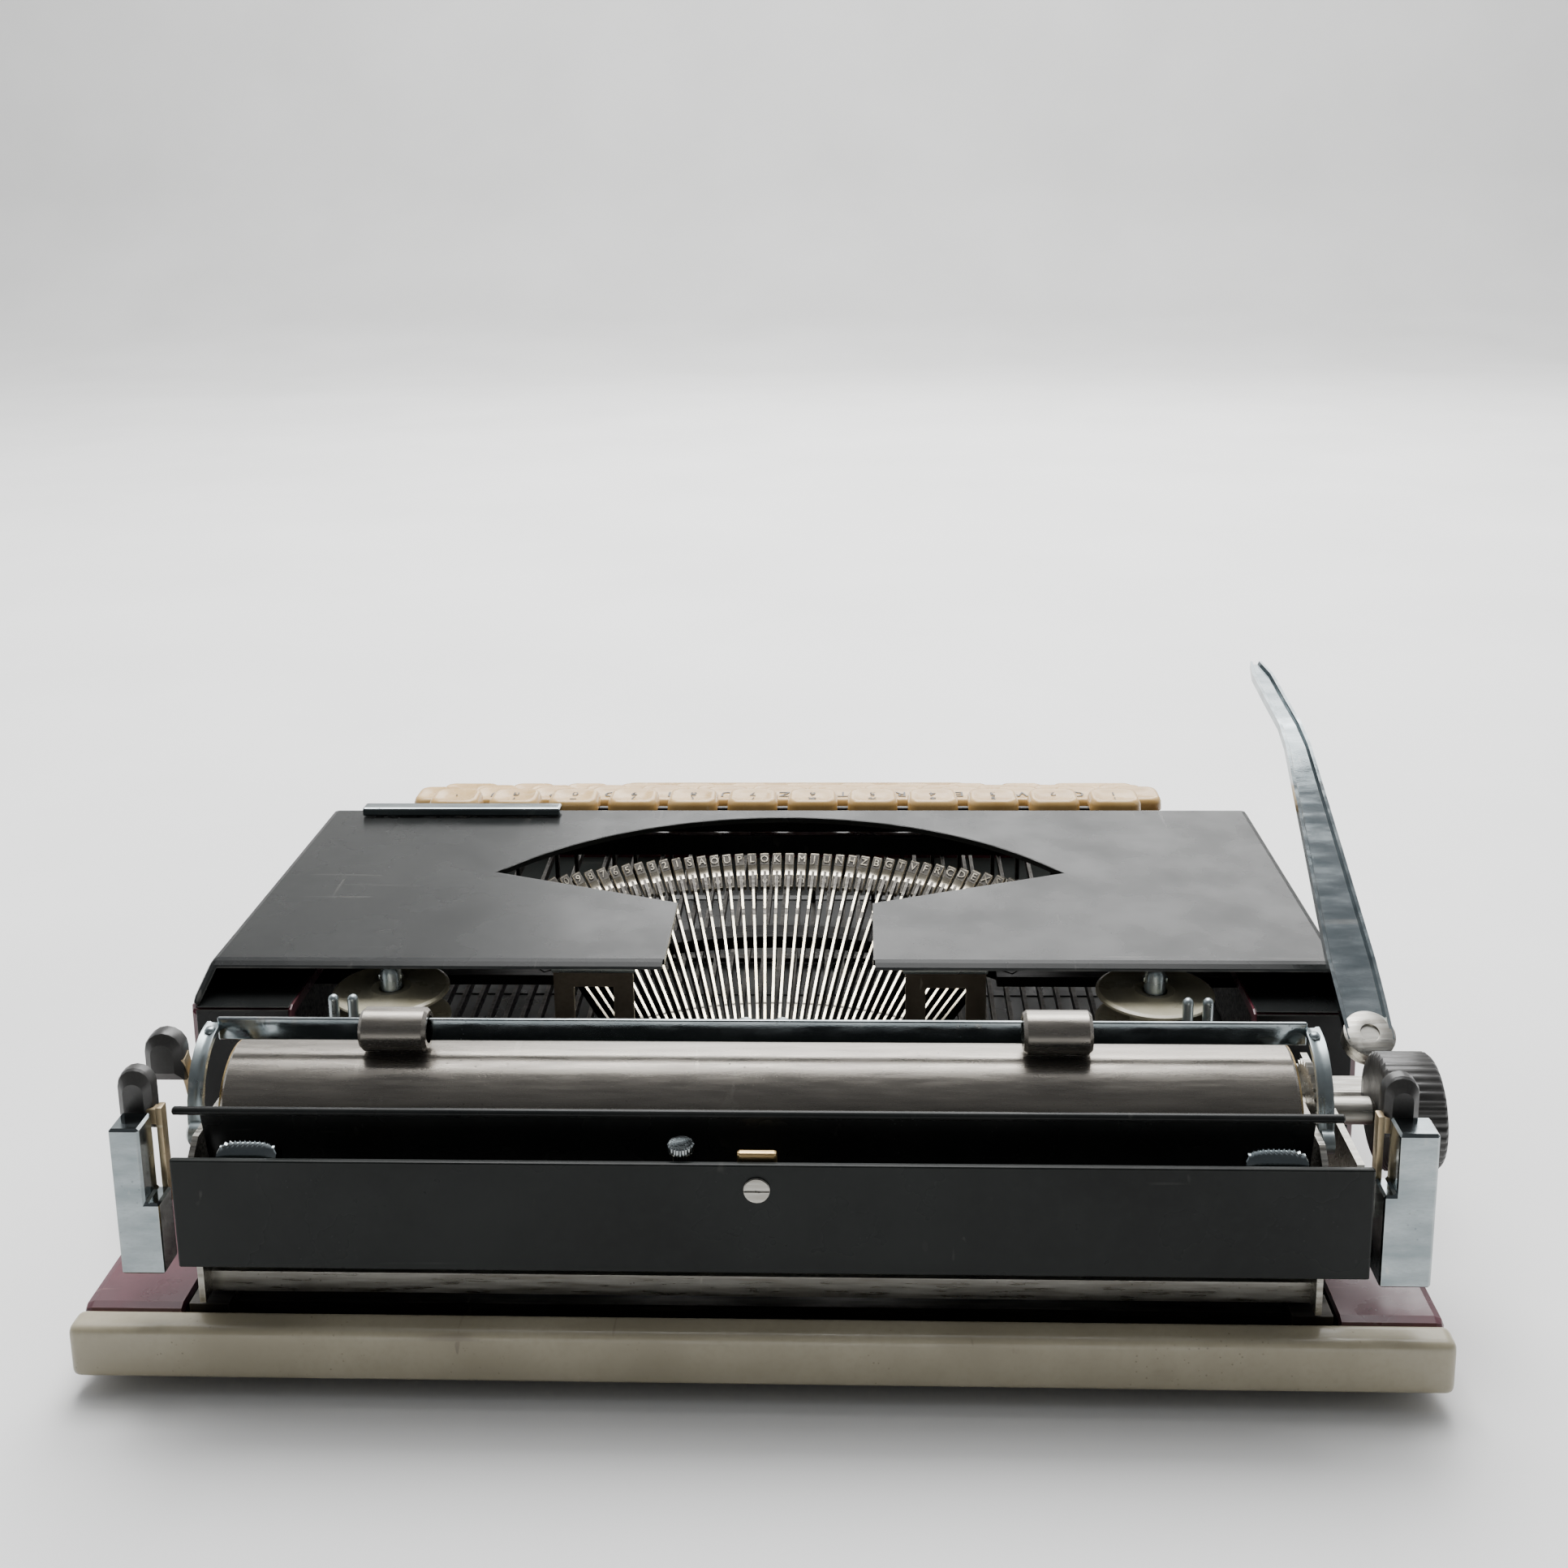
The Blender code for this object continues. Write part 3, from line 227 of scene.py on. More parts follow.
class Surface:
    """Builds one procedural material; its coordinates are metres in the machine's frame."""

    def __init__(self, name):
        self.material = bpy.data.materials.new(name)
        self.material.use_nodes = True
        self.tree = self.material.node_tree
        self.shader = self.tree.nodes["Principled BSDF"]
        self.place = self.tree.nodes.new("ShaderNodeTexCoord").outputs["Object"]

    def feed(self, socket, value):
        """Links a socket to another one, or sets it to a plain value."""
        if isinstance(value, bpy.types.NodeSocket):
            self.tree.links.new(value, socket)
        else:
            socket.default_value = value

    def node(self, kind, **values):
        """A new node with its sockets set, or linked where the value is a socket."""
        made = self.tree.nodes.new("ShaderNode" + kind)
        for name, value in values.items():
            self.feed(made.inputs[name.replace("_", " ")], value)
        return made

    def noise(self, scale, detail=3.0, stretch=(1, 1, 1)):
        place = self.node("Mapping", Vector=self.place, Scale=stretch).outputs["Vector"]
        return self.node("TexNoise", Vector=place, Scale=scale, Detail=detail).outputs["Fac"]

    def ranged(self, value, low, high, to_low=0.0, to_high=1.0):
        made = self.node(
            "MapRange", Value=value, From_Min=low, From_Max=high, To_Min=to_low, To_Max=to_high
        )
        return made.outputs["Result"]

    def maths(self, operation, first, second):
        made = self.node("Math")
        made.operation = operation
        for socket, value in zip(made.inputs, (first, second)):
            self.feed(socket, value)
        return made.outputs["Value"]

    def mixed(self, factor, first, second):
        return self.node("MixRGB", Fac=factor, Color1=first, Color2=second).outputs["Color"]

    def edges(self, radius=0.0006):
        """How far a spot lies on a sharp edge, from the bent normal of a small bevel."""
        bevel = self.node("Bevel", Radius=radius)
        bevel.samples = 4
        flat = self.node("NewGeometry").outputs["Normal"]
        dot = self.node("VectorMath")
        dot.operation = "DOT_PRODUCT"
        self.feed(dot.inputs[0], bevel.outputs["Normal"])
        self.feed(dot.inputs[1], flat)
        return self.ranged(dot.outputs["Value"], 0.995, 0.88)

    def scratches(self, amount):
        """Fine broken lines in two directions."""
        across = self.ranged(self.noise(240, 2.0, (0.06, 1.6, 1.0)), 0.665, 0.70)
        along = self.ranged(self.noise(200, 2.0, (1.5, 0.07, 0.6)), 0.675, 0.71)
        broken = self.ranged(self.noise(38), 0.50, 0.62)
        lines = self.maths("MULTIPLY", self.maths("MAXIMUM", across, along), broken)
        return self.maths("MULTIPLY", lines, amount)

    def specks(self, amount):
        """Small chips and specks of dirt, in patches."""
        cells = self.node("TexVoronoi", Vector=self.place, Scale=620.0).outputs["Distance"]
        dots = self.ranged(cells, 0.17, 0.09)
        patches = self.ranged(self.noise(55, 2.0), 0.52, 0.64)
        return self.maths("MULTIPLY", self.maths("MULTIPLY", dots, patches), amount)


def tone(colour):
    return (*colour, 1.0)


def make_finish(name):
    """Mottled colour, rubbed edges, scratches, specks and a fine bump, as the finish asks."""
    spec = FINISHES[name]
    surface = Surface(name)
    stretch = spec.get("stretch", (1, 1, 1))
    cloud = surface.noise(spec["mottle"], 5.0, stretch)
    grain = surface.noise(spec["mottle"] * 18, 2.0, stretch)
    scratches = surface.scratches(spec["wear"])
    specks = surface.specks(spec["specks"])
    rubbed = surface.maths("MULTIPLY", surface.edges(), surface.ranged(surface.noise(90), 0.38, 0.62))
    wear = surface.maths("MAXIMUM", scratches, surface.maths("MULTIPLY", rubbed, spec["wear"]))
    colour = surface.mixed(surface.ranged(cloud, 0.35, 0.68), tone(spec["base"]), tone(spec["shade"]))
    colour = surface.mixed(surface.ranged(grain, 0.45, 0.75, 0.0, 0.35), colour, tone(spec["shade"]))
    colour = surface.mixed(wear, colour, tone(spec["worn"]))
    dirt = tone(tuple(0.35 * channel for channel in spec["shade"]))
    colour = surface.mixed(specks, colour, dirt)
    smooth, coarse = spec["rough"]
    sheen = surface.noise(spec["mottle"] * 1.7, 4.0, stretch)
    roughness = surface.ranged(sheen, 0.35, 0.68, smooth, coarse)
    roughness = surface.maths("ADD", roughness, surface.maths("MULTIPLY", specks, 0.3))
    raised = surface.maths("MULTIPLY", grain, 0.5)
    height = surface.maths("SUBTRACT", raised, surface.maths("ADD", specks, wear))
    bump = surface.node("Bump", Height=height, Strength=spec["bump"], Distance=0.0002)
    links = surface.tree.links
    links.new(colour, surface.shader.inputs["Base Color"])
    links.new(roughness, surface.shader.inputs["Roughness"])
    links.new(bump.outputs["Normal"], surface.shader.inputs["Normal"])
    surface.shader.inputs["Metallic"].default_value = spec.get("metallic", 0.0)
    surface.shader.inputs["Specular IOR Level"].default_value = spec.get("specular", 0.5)
    surface.shader.inputs["Coat Weight"].default_value = spec.get("coat", 0.0)
    surface.shader.inputs["Coat Roughness"].default_value = 0.12
    return surface.material


# ---------------------------------------------------------------- mesh helpers


def loft(mesh, rings):
    """A closed skin through rings that each have the same number of points."""
    rows = [[mesh.verts.new(point) for point in ring] for ring in rings]
    count = len(rows[0])
    for first, second in zip(rows, rows[1:]):
        for index in range(count):
            after = (index + 1) % count
            mesh.faces.new((first[index], first[after], second[after], second[index]))
    mesh.faces.new(list(reversed(rows[0])))
    mesh.faces.new(rows[-1])


def merge(mesh, part, matrix=None):
    """Moves one bmesh into another, with an optional transform."""
    data = bpy.data.meshes.new("part")
    if matrix is not None:
        part.transform(matrix)
    part.to_mesh(data)
    part.free()
    mesh.from_mesh(data)
    bpy.data.meshes.remove(data)


def bevelled(mesh, width, segments=2, limit=30):
    """Rounds every edge that is sharper than the limit, in degrees."""
    sharp = [
        edge for edge in mesh.edges
        if len(edge.link_faces) == 2 and edge.calc_face_angle(0.0) > math.radians(limit)
    ]
    bmesh.ops.bevel(mesh, geom=sharp, offset=width, segments=segments, profile=0.6, affect="EDGES",
                    clamp_overlap=True)
    return mesh


def box(x_range, depth_range, z_range, radius=0.0, segments=2):
    """A box between the given limits with rounded edges."""
    low = at(x_range[0], depth_range[1], z_range[0])
    high = at(x_range[1], depth_range[0], z_range[1])
    mesh = bmesh.new()
    place = Matrix.Translation((low + high) / 2) @ Matrix.Diagonal((*(high - low), 1.0))
    bmesh.ops.create_cube(mesh, size=1.0, matrix=place)
    if radius:
        bevelled(mesh, radius, segments)
    return mesh


def lathe(profile, centre, axis="Z", steps=48, ripple=None):
    """Spins (radius, height) pairs round an axis; ripple(angle, index) scales a radius."""
    turn = {
        "X": Matrix(((0, 0, 1), (1, 0, 0), (0, 1, 0))),
        "Y": Matrix(((1, 0, 0), (0, 0, -1), (0, 1, 0))),
        "Z": Matrix.Identity(3),
    }[axis].to_4x4()
    mesh = bmesh.new()
    rings = []
    for index, (radius, height) in enumerate(profile):
        ring = []
        for step in range(steps):
            angle = 2 * math.pi * step / steps
            reach = max(radius, 1e-5) * (ripple(step, index) if ripple else 1.0)
            ring.append(Vector((reach * math.cos(angle), reach * math.sin(angle), height)))
        rings.append(ring)
    loft(mesh, rings)
    mesh.transform(Matrix.Translation(centre) @ turn)
    bmesh.ops.recalc_face_normals(mesh, faces=mesh.faces)
    return mesh


def rod(start, end, radius, sides=12):
    """A round rod with slightly rounded ends."""
    run = end - start
    soft = min(radius, run.length / 2) * 0.35
    profile = [
        (radius - soft, 0.0), (radius, soft), (radius, run.length - soft), (radius - soft, run.length)
    ]
    mesh = lathe(profile, Vector((0, 0, 0)), "Z", sides)
    turn = Vector((0, 0, 1)).rotation_difference(run.normalized()).to_matrix().to_4x4()
    mesh.transform(Matrix.Translation(start) @ turn)
    return mesh


def strip(stations, lip=0.0):
    """A bar through (place, width, thickness) stations, its width along X, with raised edges."""
    mesh = bmesh.new()
    rings = []
    for index, (place, width, thickness) in enumerate(stations):
        before = stations[max(index - 1, 0)][0]
        after = stations[min(index + 1, len(stations) - 1)][0]
        run = (after - before).normalized()
        lift = Vector((0, -run.z, run.y))
        lift = lift if lift.z > 0 else -lift
        half, wall = width / 2, min(0.0008, width / 5)
        section = [(-half, 0), (half, 0), (half, thickness), (half - wall, thickness)]
        section += [(half - 1.6 * wall, thickness - lip), (-half + 1.6 * wall, thickness - lip)]
        section += [(-half + wall, thickness), (-half, thickness)]
        rings.append([place + Vector((u, 0, 0)) + lift * (v - thickness / 2) for u, v in section])
    loft(mesh, rings)
    bmesh.ops.recalc_face_normals(mesh, faces=mesh.faces)
    return mesh


def prism(points, place, depth):
    """A closed outline of (u, v) pairs pushed along w; place carries (u, v, w) to the world."""
    mesh = bmesh.new()
    rings = [[place(u, v, w) for u, v in points] for w in depth]
    loft(mesh, rings)
    bmesh.ops.recalc_face_normals(mesh, faces=mesh.faces)
    return mesh


GLYPHS = {}


def glyph(character, size, thickness):
    """A flat character in the XY plane, centred, its face towards +Z."""
    key = (character, size, thickness)
    if key not in GLYPHS:
        curve = bpy.data.curves.new("glyph", "FONT")
        curve.body = character
        curve.size = size
        curve.extrude = thickness / 2
        curve.resolution_u = 2
        curve.align_x = "CENTER"
        curve.align_y = "CENTER"
        obj = bpy.data.objects.new("glyph", curve)
        bpy.context.scene.collection.objects.link(obj)
        bpy.context.view_layer.update()
        graph = bpy.context.evaluated_depsgraph_get()
        GLYPHS[key] = bpy.data.meshes.new_from_object(obj.evaluated_get(graph))
        bpy.data.objects.remove(obj)
    mesh = bmesh.new()
    mesh.from_mesh(GLYPHS[key])
    return mesh


class Workshop:
    """Makes the visible pieces and puts finishes on the frame's own nodes."""

    def __init__(self, frame):
        self.nodes = frame["nodes"]
        self.body_of = {}
        for body, members in frame["record"]["behaviour"]["bodies"].items():
            self.body_of.update({node: body for node in members})
        self.finishes = {name: make_finish(name) for name in FINISHES}

    def make(self, name, mesh, finish, node, smooth):
        """A finished object that rides with the node's body."""
        bmesh.ops.recalc_face_normals(mesh, faces=mesh.faces)
        data = bpy.data.meshes.new(name)
        mesh.to_mesh(data)
        mesh.free()
        data.materials.append(self.finishes[finish])
        data.shade_smooth()
        data.set_sharp_from_angle(angle=math.radians(smooth))
        obj = bpy.data.objects.new(name, data)
        bpy.context.scene.collection.objects.link(obj)
        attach(obj, self.body_of[node])
        return obj

    def piece(self, name, mesh, finish, node, smooth=35):
        """Adds a visible piece that stands for the given node."""
        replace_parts(self.make(name, mesh, finish, node, smooth), node)

    def extra(self, name, mesh, finish, beside, smooth=35):
        """Adds a piece that rides with a node which stays visible."""
        self.make(name, mesh, finish, beside, smooth)

    def keep(self, node, finish, bevel=0.0, smooth=35):
        """Keeps a node of the frame, with its own finish and a fine rounding."""
        obj = self.nodes[node]
        obj.data.materials.clear()
        obj.data.materials.append(self.finishes[finish])
        obj.data.shade_smooth()
        obj.data.set_sharp_from_angle(angle=math.radians(smooth))
        if bevel:
            rounding = obj.modifiers.new("round", "BEVEL")
            rounding.width = bevel
            rounding.segments = 2
            rounding.limit_method = "ANGLE"
            rounding.angle_limit = math.radians(35)
            rounding.harden_normals = True


# ---------------------------------------------------------------- shells


def make_shells(shop):
    """Burgundy body, beige rear strip and near-black floor, black hood with its turned lip."""
    shop.keep("body_shell", "burgundy", smooth=40)
    for side, sign in (("left", -1), ("right", 1)):
        near, far = sorted((sign * 0.1185, sign * 0.1415))
        shield = box((near, far), (0.0761, 0.0766), (0.0180, 0.0496), 0.0001, 1)
        merge(shield, box((near, far), (0.0768, 0.1800), (0.0500, 0.0502)))
        shop.extra(f"body_shell.shield_{side}", shield, "black_enamel", "body_shell")
    lining = box((-0.1175, 0.1175), (0.1926, 0.1934), (0.0440, 0.0502))
    shop.extra("body_shell.lining", lining, "black_enamel", "body_shell")
    rear_strip = box((-0.1435, 0.1435), (0, 0.0068), (0.0040, 0.0160), 0.0022, 5)
    shop.piece("rear_strip", rear_strip, "beige", "bottom_pan", 50)
    floor = box((-0.1395, 0.1395), (0.0066, 0.2855), (0.0042, 0.0060), 0.0004)
    for index in range(7):
        depth = 0.030 + 0.036 * index
        merge(floor, box((-0.118, 0.118), (depth, depth + 0.004), (0.0055, 0.0063), 0.0003, 1))
    shop.piece("floor_pan", floor, "panel", "bottom_pan")
    shop.keep("hood", "black_enamel", smooth=40)
    shop.extra("hood_lip", hood_lip(), "black_enamel", "hood")
    shop.keep("badge_bar", "chrome")
    for node in ("foot_rear_left", "foot_rear_right", "foot_front_left", "foot_front_right"):
        shop.keep(node, "rubber", 0.0005)


def eye_curve():
    """The eye's front arc and the throat's two sides, as (x, depth) places."""
    rise = EYE_FRONT - EYE_TIP
    radius = (EYE_HALF**2 + rise**2) / (2 * rise)
    reach = math.asin(EYE_HALF / radius)
    arc = []
    for step in range(41):
        angle = reach * (1 - step / 20)
        arc.append((radius * math.sin(angle), EYE_FRONT - radius * (1 - math.cos(angle))))
    left = [(-THROAT_HALF, THROAT_FRONT), (-THROAT_HALF, THROAT_REAR)]
    right = [(THROAT_HALF, THROAT_REAR), (THROAT_HALF, THROAT_FRONT)]
    return right + arc + left


def hood_lip():
    """A turned-down edge round the opening, with a fine bead at its top."""
    curve = eye_curve()
    section = [(-0.0004, -0.0016), (0.0005, -0.0016), (0.0008, -0.0003), (0.0004, 0.0), (-0.0004, -0.0001)]
    rings = []
    for index, (x, depth) in enumerate(curve):
        before = Vector(curve[max(index - 1, 0)])
        after = Vector(curve[min(index + 1, len(curve) - 1)])
        run = (after - before).normalized()
        out = Vector((run.y, -run.x))
        rings.append(
            [at(x + out.x * u, depth + out.y * u, HOOD_TOP + v) for u, v in section]
        )
    mesh = bmesh.new()
    loft(mesh, rings)
    return mesh


# ---------------------------------------------------------------- keyboard


def lever_height(depth):
    """Height of a key lever's middle at a given depth."""
    return FULCRUM[1] + 0.0018 + LEVER_HEIGHT / 2 + 0.052 * (depth - FULCRUM[0])


def rounded_ring(x, depth, z, half_width, half_depth, radius, steps=5):
    """A rounded rectangle in plan."""
    ring = []
    corners = ((1, 1), (-1, 1), (-1, -1), (1, -1))
    for turn, (sign_x, sign_y) in enumerate(corners):
        for step in range(steps + 1):
            angle = math.pi / 2 * (turn + step / steps)
            u = sign_x * (half_width - radius) + radius * math.cos(angle)
            v = sign_y * (half_depth - radius) + radius * math.sin(angle)
            ring.append(at(x + u, depth - v, z))
    return ring


def key_cap(mesh, x, depth, top, width=CAP_WIDTH):
    """A moulded cap with a skirt, a rounded shoulder and a dished top."""
    layers = (
        (0.0000, -CAP_THICK, 0.0035), (0.0001, -0.0018, 0.0034), (0.0005, -0.0007, 0.0032),
        (0.0011, -0.0001, 0.0029), (0.0018, -0.0001, 0.0026), (0.0030, -0.0005, 0.0021),
        (0.0046, -0.0008, 0.0012),
    )
    rings = [
        rounded_ring(x, depth, top + drop, width / 2 - inset, CAP_DEPTH / 2 - inset, radius)
        for inset, drop, radius in layers
    ]
    loft(mesh, rings)


def lever_and_stem(mesh, lever_x, depth, top):
    """The steel lever on the fulcrum and the stem that carries the cap."""
    tail = at(lever_x, 0.0817, lever_height(0.0817))
    nose = at(lever_x, depth + 0.0003, lever_height(depth + 0.0003))
    run = nose - tail
    lift = Vector((0, 0, LEVER_HEIGHT / 2))
    side = Vector((LEVER_THICK / 2 * 0.96, 0, 0))
    rings = []
    for share, taper in ((0.0, 0.7), (0.02, 1.0), (0.97, 1.0), (1.0, 0.75)):
        place = tail + run * share
        rings.append([place - side - lift * taper, place + side - lift * taper,
                      place + side + lift * taper, place - side + lift * taper])
    loft(mesh, rings)
    low = lever_height(depth) - LEVER_HEIGHT / 2 + 0.0006
    half = LEVER_THICK / 2
    merge(mesh, box((lever_x - half, lever_x + half), (depth - 0.0015, depth + 0.0011),
                    (low, top - CAP_THICK + 0.0003), 0.0002, 1))


def legend_on(mesh, text, x, depth, top, size):
    """Paints a generic legend on a cap, read from the typist's side."""
    part = glyph(text, size, 0.00012)
    merge(mesh, part, Matrix.Translation(at(x, depth, top - 0.00062)))


def row_places(row):
    count = len(ROW_LEGENDS[row])
    return [ROW_STARTS[row] + PITCH * column for column in range(count)]


def make_keyboard(shop):
    for row, row_name in enumerate(ROW_NAMES):
        make_row(shop, row, f"key_row_{row_name}")
    row, column = SINGLE_KEY
    x = row_places(row)[column]
    caps, metal, ink = bmesh.new(), bmesh.new(), bmesh.new()
    key_cap(caps, x, ROW_DEPTHS[row], ROW_TOPS[row])
    lever_and_stem(metal, x, ROW_DEPTHS[row], ROW_TOPS[row])
    legend_on(ink, ROW_LEGENDS[row][column], x, ROW_DEPTHS[row], ROW_TOPS[row], LETTER_SIZE)
    finish_keys(shop, "key_single", caps, metal, ink)
    make_function_keys(shop)


def finish_keys(shop, node, caps, metal, ink):
    shop.piece(node + ".caps", caps, "cream", node, 50)
    shop.piece(node + ".levers", metal, "dark_steel", node)
    if ink is not None:
        shop.piece(node + ".legends", ink, "legend", node)


def make_row(shop, row, node):
    """One row of letter keys with its levers, its tie bar and its legends."""
    depth, top = ROW_DEPTHS[row], ROW_TOPS[row]
    caps, metal, ink = bmesh.new(), bmesh.new(), bmesh.new()
    places = row_places(row)
    for column, x in enumerate(places):
        if (row, column) == SINGLE_KEY:
            continue
        key_cap(caps, x, depth, top)
        lever_and_stem(metal, x, depth, top)
        upper = ROW_SHIFTED[row][column] if ROW_SHIFTED[row] else ""
        if upper:
            legend_on(ink, upper, x, depth - 0.0026, top, DOUBLE_LEGEND_SIZE)
            legend_on(ink, ROW_LEGENDS[row][column], x, depth + 0.0024, top, DOUBLE_LEGEND_SIZE)
        else:
            legend_on(ink, ROW_LEGENDS[row][column], x, depth, top, LETTER_SIZE)
    tie_z = (top - CAP_THICK - 0.0018, top - CAP_THICK)
    near, far = depth - 0.0010, depth + 0.0008
    if row == SINGLE_KEY[0]:
        add_dipped_tie(metal, places, depth, tie_z)
    else:
        merge(metal, box((places[0] - 0.002, places[-1] + 0.002), (near, far), tie_z, 0.0002, 1))
    finish_keys(shop, node, caps, metal, ink)


def add_dipped_tie(metal, places, depth, tie_z):
    """The tie bar that dips under the travel of the key with its own motion."""
    x = places[SINGLE_KEY[1]]
    leg = PITCH / 2
    near, far = depth - 0.0010, depth + 0.0008
    dip = tie_z[0] - 0.0067
    shapes = (
        ((places[0] - 0.002, x - leg), (near, far), tie_z),
        ((x + leg, places[-1] + 0.002), (near, far), tie_z),
        ((x - leg, x + leg), (depth - 0.0047, depth - 0.0037), (dip - 0.0013, dip - 0.0001)),
        ((x - leg - 0.0005, x - leg + 0.0005), (depth - 0.0048, far), (dip - 0.0014, tie_z[1])),
        ((x + leg - 0.0005, x + leg + 0.0005), (depth - 0.0048, far), (dip - 0.0014, tie_z[1])),
    )
    for limits in shapes:
        merge(metal, box(*limits, 0.0002, 1))


def make_function_keys(shop):
    """Backspace, margin release, space bar and the shift keys."""
    for node, x, lever_x in (("backspace_key", 0.1158, 0.1150), ("margin_release_key", -0.1128, -0.1130)):
        caps, metal = bmesh.new(), bmesh.new()
        key_cap(caps, x, ROW_DEPTHS[1], ROW_TOPS[1])
        lever_and_stem(metal, lever_x, ROW_DEPTHS[1], ROW_TOPS[1])
        finish_keys(shop, node, caps, metal, None)
    depth, top = 0.2785, 0.0360
    bar, metal = bmesh.new(), bmesh.new()
    layers = (
        (0.0, -0.0049, 0.0035), (0.0001, -0.0020, 0.0034),
        (0.0006, -0.0006, 0.003), (0.0015, 0.0, 0.0022),
    )
    rings = [
        rounded_ring(0, depth, top + z, 0.062 - inset, 0.005 - inset, radius)
        for inset, z, radius in layers
    ]
    loft(bar, rings)
    for x in (-0.05802, 0.06106):
        lever_and_stem(metal, x, depth, top)
    finish_keys(shop, "space_bar", bar, metal, None)
    make_shift_keys(shop)


def make_shift_keys(shop):
    depth, top = ROW_DEPTHS[3], ROW_TOPS[3]
    caps, metal = bmesh.new(), bmesh.new()
    merge(metal, rod(at(-0.1182, 0.0925, 0.0085), at(0.1217, 0.0925, 0.0085), 0.0014))
    for arm_x, cap_x, width in ((-0.1180, -0.1043, 0.0290), (0.1215, 0.1140, 0.0200)):
        key_cap(caps, cap_x, depth, top, width)
        arm = (arm_x - 0.0006, arm_x + 0.0006)
        merge(metal, box(arm, (depth - 0.0015, depth + 0.0011), (0.0205, top - 0.004)))
        start = at(arm_x, 0.0912, 0.0095)
        end = at(arm_x, depth, lever_height(depth))
        merge(metal, strip([(start, 0.0012, 0.0028), (end, 0.0012, 0.0028)]))
    key_cap(caps, -0.1108, ROW_DEPTHS[2], ROW_TOPS[2])
    lock = (ROW_DEPTHS[2] - 0.0015, ROW_DEPTHS[2] + 0.0011)
    merge(metal, box((-0.1186, -0.1174), lock, (0.0200, ROW_TOPS[2] - 0.004)))
    finish_keys(shop, "shift_keys", caps, metal, None)


# ---------------------------------------------------------------- type basket


def fan_frame(angle):
    """Carries (radius, height, across) of one fan angle into the world."""
    radial = Vector((math.sin(angle), -math.cos(angle), 0))
    across = radial.cross(Vector((0, 0, 1)))
    frame = Matrix((radial, Vector((0, 0, 1)), across)).transposed().to_4x4()
    frame.translation = at(0, PRINT_DEPTH, 0)
    return frame


def bar_place(along, across):
    """Radius and height of a spot on a resting type bar."""
    cosine, sine = math.cos(BAR_REST_ANGLE), math.sin(BAR_REST_ANGLE)
    return BAR_PIVOT_RADIUS + along * cosine - across * sine, BAR_PIVOT_Z + along * sine + across * cosine


def bar_section(frame, along, low, high, half_width):
    corners = ((low, -half_width), (low, half_width), (high, half_width), (high, -half_width))
    return [frame @ Vector((*bar_place(along, across), side)) for across, side in corners]


def add_typebar(parts, index):
    """A stamped bar with a painted highlight along its top edge, and a slug with two raised characters."""
    angle = (index - (BAR_COUNT - 1) / 2) * FAN_STEP
    frame = fan_frame(angle)
    stations = ((-0.0021, 0.0016), (-0.0005, 0.0018), (0.004, 0.0018), (0.030, 0.0014), (BAR_LENGTH, 0.0010))
    loft(parts["bars"], [bar_section(frame, along, -half, half, 0.0004) for along, half in stations])
    # Pale strips over the bar's top edge: a painted highlight, broken into pieces where dark bands cross the
    # bars.
    for start, end in ((0.0045, 0.0105), (0.0112, 0.0452), (0.0478, 0.0560)):
        rings = []
        for along in (start, start + 0.0006, end - 0.0006, end):
            half = 0.0018 - 0.0008 * along / BAR_LENGTH
            soft = 0.00008 if along in (start, end) else 0.00022
            rings.append(bar_section(frame, along, half - 0.0003, half + soft, 0.0003))
        loft(parts["edges"], rings)
    add_slug(parts, frame, angle, TYPE_CHARACTERS[index])


def add_slug(parts, frame, angle, character):
    length, thick, width = SLUG_SIZE
    centre = Vector((*bar_place(BAR_LENGTH, 0), 0))
    local = Matrix.Translation(centre) @ Matrix.Rotation(-SLUG_ROLL * angle, 4, "X")
    local = frame @ local @ Matrix.Rotation(SLUG_RISE, 4, "Z")
    half, face = length / 2, thick / 2
    outline = (
        (-half, -face * 0.2), (-half + 0.0010, -face), (half - 0.0016, -face), (half, -face * 0.1),
        (half, face * 0.72), (half - 0.0005, face), (0.0014, face), (0.0010, face * 0.82),
        (-0.0010, face * 0.82), (-0.0014, face), (-half + 0.0005, face), (-half, face * 0.72),
    )
    rings = [[local @ Vector((u, v, side)) for u, v in outline] for side in (-width / 2, width / 2)]
    slug = bmesh.new()
    loft(slug, rings)
    bmesh.ops.recalc_face_normals(slug, faces=slug.faces)
    merge(parts["slugs"], bevelled(slug, 0.00018, 1, 50))
    for along, text in ((0.0034, character.upper()[0]), (-0.0033, character.lower()[0])):
        pad = bmesh.new()
        bmesh.ops.create_cube(pad, size=1.0, matrix=Matrix.Diagonal((0.0034, 0.00012, width * 0.94, 1.0)))
        merge(parts["pads"], pad, local @ Matrix.Translation((along, face + 0.00004, 0)))
        upright = Matrix(((0, 1, 0), (0, 0, 1), (1, 0, 0))).to_4x4()
        place = local @ Matrix.Translation((along, face + 0.00018, 0)) @ upright
        merge(parts["types"], glyph(text, 0.0031, 0.00030), place)


def make_typebars(shop):
    """All the bars of the basket on their hinge wire, and the one that moves by itself."""
    for node, indices in (
        ("typebar_basket", [index for index in range(BAR_COUNT) if index != SINGLE_BAR]),
        ("typebar_single", [SINGLE_BAR]),
    ):
        parts = {name: bmesh.new() for name in ("bars", "edges", "slugs", "pads", "types")}
        for index in indices:
            add_typebar(parts, index)
        if node == "typebar_basket":
            add_hinge_wire(parts["bars"])
        # The bars' edge strips carry the painted highlight finish.
        finishes = {"bars": "dark_steel", "edges": "painted_bar_edge_highlight", "slugs": "type_metal", "pads": "inked",
                    "types": "type_metal"}
        for name, mesh in parts.items():
            shop.piece(f"{node}.{name}", mesh, finishes[name], node)


